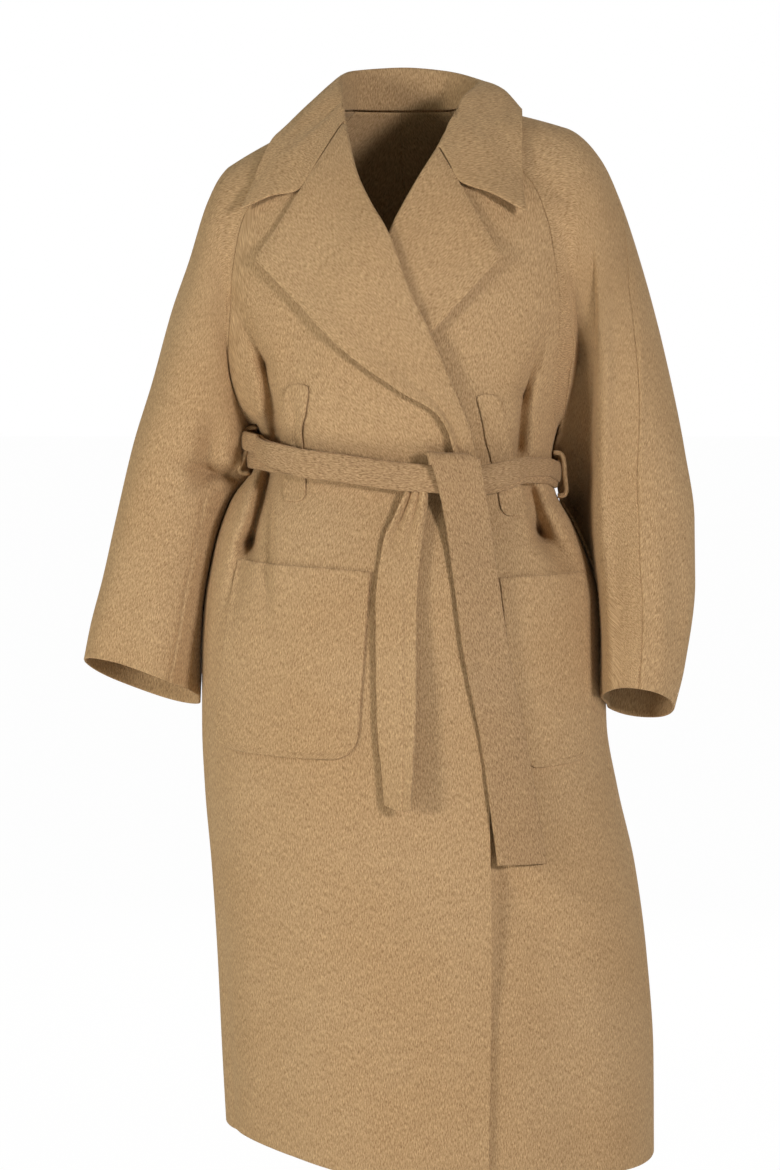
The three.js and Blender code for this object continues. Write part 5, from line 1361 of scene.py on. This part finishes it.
    def loop(self, side: Side, wool: Material) -> None:
        """Args: side and wool. Builds the narrow loop at the side seam, standing out round the belt."""
        angle = side.value * (SIDE_SEAM + 6)
        top, bottom = LOOPS[side]
        height, middle = (top - bottom) / 2, (top + bottom) / 2
        a = np.linspace(-math.pi / 2, math.pi / 2, 60)
        base = TORSO.point(middle, angle)
        out = unit(TORSO.normal(middle, angle) * np.array([1, 1, 0]))
        along = np.array([-out[1], out[0], 0])
        z = middle + height * np.sin(a)
        reach = ((TORSO.point(z, angle) - base) * out).sum(-1)
        clear = {Side.RIGHT: 18.5, Side.LEFT: 13.5}[side]
        stand = np.maximum(reach, 0) + CLOTH / 2 + 2.0 + clear * power(np.cos(a), 0.5)
        centre = base + out * stand[:, None]
        centre[:, 2] = z
        centre = centre + along * (1.2 * np.sin(a * 1.4))[:, None]
        tangent = unit(np.gradient(centre, axis=0))
        wide = np.cross(tangent, np.broadcast_to(along, tangent.shape))
        t = np.linspace(0, 2 * math.pi, 14, endpoint=False)
        ring = (
            along[None, None] * (np.cos(t)[None, :, None] * 3.6)
            + unit(wide)[:, None] * (np.sin(t)[None, :, None] * 2.7)
        )
        name = f"belt_loop_{side.word}"
        made = tube(f"{name}_cloth", centre, centre[:, None] - ring, wool)
        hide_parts(name)


# ---------------------------------------------------------------- materials


def linear(hex_colour: str) -> tuple[float, float, float, float]:
    """Args: an sRGB colour such as #b2956c. Returns: it as linear red, green, blue and alpha."""
    parts = [int(hex_colour[i : i + 2], 16) / 255 for i in (1, 3, 5)]
    return (*(p / 12.92 if p <= 0.04045 else ((p + 0.055) / 1.055) ** 2.4 for p in parts), 1.0)


def node(
    tree: NodeTree, kind: str, settings: dict | None = None, links: dict | None = None
) -> Node:
    """Args: tree, node type, values for its properties or inputs, and sockets to link in. Returns: it."""
    made = tree.nodes.new(kind)
    for key, value in (settings or {}).items():
        if isinstance(key, str) and hasattr(made, key):
            setattr(made, key, value)
        else:
            made.inputs[key].default_value = value
    for key, socket in (links or {}).items():
        tree.links.new(socket, made.inputs[key])
    return made


@dataclass(frozen=True)
class Wool:
    """Brushed double-faced wool in camel: short flecks of lighter and darker hair lie down the cloth, broader
    clouds make it uneven, and its fuzz catches light at grazing angles."""

    name: str = "camel_wool"
    dark: str = "#7a5f3f"
    light: str = "#dabb92"
    cloud_dark: str = "#a78460"
    cloud_light: str = "#b99770"
    fleck_mm: tuple[float, float] = (1.2, 5.6)
    hair_mm: tuple[float, float] = (0.75, 3.2)
    cloud_mm: float = 13.0
    lean: float = 0.12

    def build(self) -> Material:
        """Returns: the material."""
        material = bpy.data.materials.new(self.name)
        material.use_nodes = True
        tree = material.node_tree
        shader = tree.nodes["Principled BSDF"]
        uv = node(tree, "ShaderNodeUVMap", {"uv_map": "nap"})
        place = node(tree, "ShaderNodeTexCoord")
        # Short hairs, lighter and darker, that lie down the cloth
        fleck = self._strands(tree, uv.outputs["UV"], self.fleck_mm)
        hair = self._strands(tree, uv.outputs["UV"], self.hair_mm)
        # Broader clouds where the nap lies unevenly, and slow changes of shade over the whole coat
        cloud = node(
            tree, "ShaderNodeTexNoise",
            {"Scale": 1000 / self.cloud_mm, "Detail": 3.0, "Roughness": 0.6},
            {"Vector": place.outputs["Object"]},
        )
        broad = node(
            tree, "ShaderNodeTexNoise", {"Scale": 7.0, "Detail": 2.0}, {"Vector": place.outputs["Object"]},
        )
        clouds = self._ramp(tree, cloud.outputs["Fac"], self.cloud_dark, self.cloud_light, 0.35, 0.65)
        flecks = self._ramp(tree, fleck.outputs["Fac"], self.dark, self.light, 0.33, 0.67)
        hairs = self._ramp(tree, hair.outputs["Fac"], self.dark, self.light, 0.28, 0.72)
        ground = self._mixed(tree, 0.55, flecks, hairs)
        ground = self._mixed(tree, 0.72, clouds, ground)
        shade = self._ramp(tree, broad.outputs["Fac"], "#f6f1ea", "#ffffff", 0.35, 0.65)
        tinted = node(
            tree, "ShaderNodeMix", {"data_type": "RGBA", "blend_type": "MULTIPLY", 0: 0.6},
            {6: ground, 7: shade},
        )
        tree.links.new(tinted.outputs[2], shader.inputs["Base Color"])
        # The raised nap, from single hairs to clouds
        fine = node(
            tree, "ShaderNodeBump", {"Strength": 0.55, "Distance": 0.0006}, {"Height": hair.outputs["Fac"]},
        )
        nap = node(
            tree, "ShaderNodeBump", {"Strength": 0.5, "Distance": 0.001},
            {"Height": fleck.outputs["Fac"], "Normal": fine.outputs["Normal"]},
        )
        soft = node(
            tree, "ShaderNodeBump", {"Strength": 0.25, "Distance": 0.002},
            {"Height": cloud.outputs["Fac"], "Normal": nap.outputs["Normal"]},
        )
        tree.links.new(soft.outputs["Normal"], shader.inputs["Normal"])
        # Dull wool, with fuzz that catches light at grazing angles
        shader.inputs["Roughness"].default_value = 0.95
        shader.inputs["Specular IOR Level"].default_value = 0.12
        shader.inputs["Sheen Weight"].default_value = 0.35
        shader.inputs["Sheen Roughness"].default_value = 0.45
        shader.inputs["Sheen Tint"].default_value = linear("#e8cfae")
        return material

    def _strands(
        self, tree: NodeTree, uv: NodeSocket, size: tuple[float, float]
    ) -> Node:
        """Args: tree, uv socket, width and length of a strand in mm. Returns: noise stretched along it."""
        scaled = node(
            tree, "ShaderNodeMapping",
            {"Scale": (1000 / size[0], 1000 / size[1], 1.0), "Rotation": (0, 0, self.lean)},
            {"Vector": uv},
        )
        return node(
            tree, "ShaderNodeTexNoise",
            {"noise_dimensions": "2D", "Scale": 1.0, "Detail": 1.0, "Roughness": 0.65},
            {"Vector": scaled.outputs["Vector"]},
        )

    def _ramp(
        self, tree: NodeTree, socket: NodeSocket, low: str, high: str, a: float, b: float
    ) -> NodeSocket:
        """Args: tree, factor, two colours and where they sit. Returns: the colour socket."""
        ramp = node(tree, "ShaderNodeValToRGB", links={"Fac": socket})
        first, second = ramp.color_ramp.elements
        first.position, first.color = a, linear(low)
        second.position, second.color = b, linear(high)
        return ramp.outputs["Color"]

    def _mixed(
        self, tree: NodeTree, share: float, first: NodeSocket, second: NodeSocket
    ) -> NodeSocket:
        """Args: tree, share of the second, two colour sockets. Returns: the mixture."""
        return node(tree, "ShaderNodeMix", {"data_type": "RGBA", 0: share}, {6: first, 7: second}).outputs[2]


# ---------------------------------------------------------------- the coat and its studio


@dataclass
class Coat:
    """The whole coat."""

    wool: Wool = field(default_factory=Wool)
    # A darker copy of the same wool, with painted shade, for the belt's band, folds, knot and long end
    shaded_wool: Wool = field(default_factory=lambda: replace(
        Wool(), name="camel_wool_painted_shade", dark="#6e563b", light="#ceaf89",
        cloud_dark="#9b7958", cloud_light="#ad8c66",
    ))

    def build(self) -> None:
        """Builds every piece in place of its solid."""
        wool = self.wool.build()
        bodies = {}
        for side in Side:
            front = Front(side)
            bodies[side] = front.grid()[1]
            front.build(wool)
            Back(side).build(wool)
            Sleeve(side).build(wool)
            Pocket(side).build(wool)
            Tab(side).build(wool)
        Collar().build(wool, bodies)
        Belt().build(wool, self.shaded_wool.build())


@dataclass(frozen=True)
class Studio:
    """Plain pale floor, soft lights and the camera at the photograph's angle."""

    eye: tuple[float, float, float] = (-0.014, -4.0, -0.290)
    tilt_degrees: float = 3.31
    lens_mm: float = 113.97
    floor_z: float = -1.42
    floor_reach: float = 60.0
    floor_glow: float = 0.985
    aim: tuple[float, float, float] = (0, 0, -0.5)

    def build(self) -> None:
        """Builds floor, lights, world and camera."""
        camera_data = bpy.data.cameras.new("camera")
        camera_data.lens = self.lens_mm
        camera_data.sensor_width = 36.0
        camera = bpy.data.objects.new("camera", camera_data)
        camera.location = self.eye
        camera.rotation_euler = (math.radians(90 - self.tilt_degrees), 0, 0)
        bpy.context.scene.collection.objects.link(camera)
        bpy.context.scene.camera = camera
        self._light("key", (2.1, -3.1, 0.3), 79, 0.6, (1.0, 0.95, 0.93))
        self._light("fill", (-2.8, -2.5, -0.2), 61, 0.8, (1.0, 0.97, 0.89))
        self._light("edge", (-3.3, -0.9, -0.7), 14, 1.0, (1.0, 0.96, 0.88))
        self._light("rear", (0.5, 3.4, 0.3), 58, 1.8, (1.0, 0.97, 0.94))
        self._light("sides", (-0.4, 0.4, 3.2), 8, 2.4, (1.0, 0.98, 0.96))
        self._floor()
        world = bpy.data.worlds.new("studio")
        bpy.context.scene.world = world
        world.use_nodes = True
        tree = world.node_tree
        ground = tree.nodes["Background"]
        ground.inputs["Color"].default_value = (0.98, 1.0, 0.8, 1)
        ground.inputs["Strength"].default_value = 0.14
        bright = node(tree, "ShaderNodeBackground", {"Color": (1, 1, 1, 1), "Strength": 1.0})
        path = node(tree, "ShaderNodeLightPath")
        mixed = node(
            tree, "ShaderNodeMixShader", {},
            {0: path.outputs["Is Camera Ray"], 1: ground.outputs[0], 2: bright.outputs[0]},
        )
        tree.links.new(mixed.outputs[0], tree.nodes["World Output"].inputs["Surface"])
        view = bpy.context.scene.view_settings
        view.view_transform = "Standard"
        view.look = "None"

    def _light(self, name: str, place: tuple, watts: float, size: float, colour: tuple) -> None:
        """Args: name, place, power, size and colour. Adds a soft light that faces the coat."""
        data = bpy.data.lights.new(name, "AREA")
        data.energy, data.size, data.color = watts, size, colour
        lamp = bpy.data.objects.new(name, data)
        lamp.location = place
        target = np.array(self.aim) - np.array(place)
        level = math.hypot(target[0], target[1])
        heading = math.atan2(target[1], target[0]) - math.pi / 2
        lamp.rotation_euler = (math.atan2(level, -target[2]), 0, heading)
        bpy.context.scene.collection.objects.link(lamp)

    def _floor(self) -> None:
        """Adds the floor."""
        mesh = bpy.data.meshes.new("floor")
        r, z = self.floor_reach, self.floor_z
        mesh.from_pydata([(-r, -r, z), (r, -r, z), (r, r, z), (-r, r, z)], [], [(0, 1, 2, 3)])
        material = bpy.data.materials.new("floor_paint")
        material.use_nodes = True
        tree = material.node_tree
        shader = tree.nodes["Principled BSDF"]
        shader.inputs["Base Color"].default_value = linear("#f7f6f4")
        shader.inputs["Roughness"].default_value = 0.9
        glow = node(tree, "ShaderNodeEmission", {"Color": (1, 1, 1, 1), "Strength": 1.0})
        path = node(tree, "ShaderNodeLightPath")
        seen = node(
            tree, "ShaderNodeMath", {"operation": "MULTIPLY", 1: self.floor_glow},
            {0: path.outputs["Is Camera Ray"]},
        )
        lit = node(
            tree, "ShaderNodeMixShader", {}, {0: seen.outputs[0], 1: shader.outputs[0], 2: glow.outputs[0]},
        )
        tree.links.new(lit.outputs[0], tree.nodes["Material Output"].inputs["Surface"])
        mesh.materials.append(material)
        floor = bpy.data.objects.new("floor", mesh)
        bpy.context.scene.collection.objects.link(floor)


def main() -> None:
    """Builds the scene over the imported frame."""
    logging.basicConfig(level=logging.INFO, format="%(name)s: %(message)s")
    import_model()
    Coat().build()
    Studio().build()


if __name__ == "__main__":
    main()
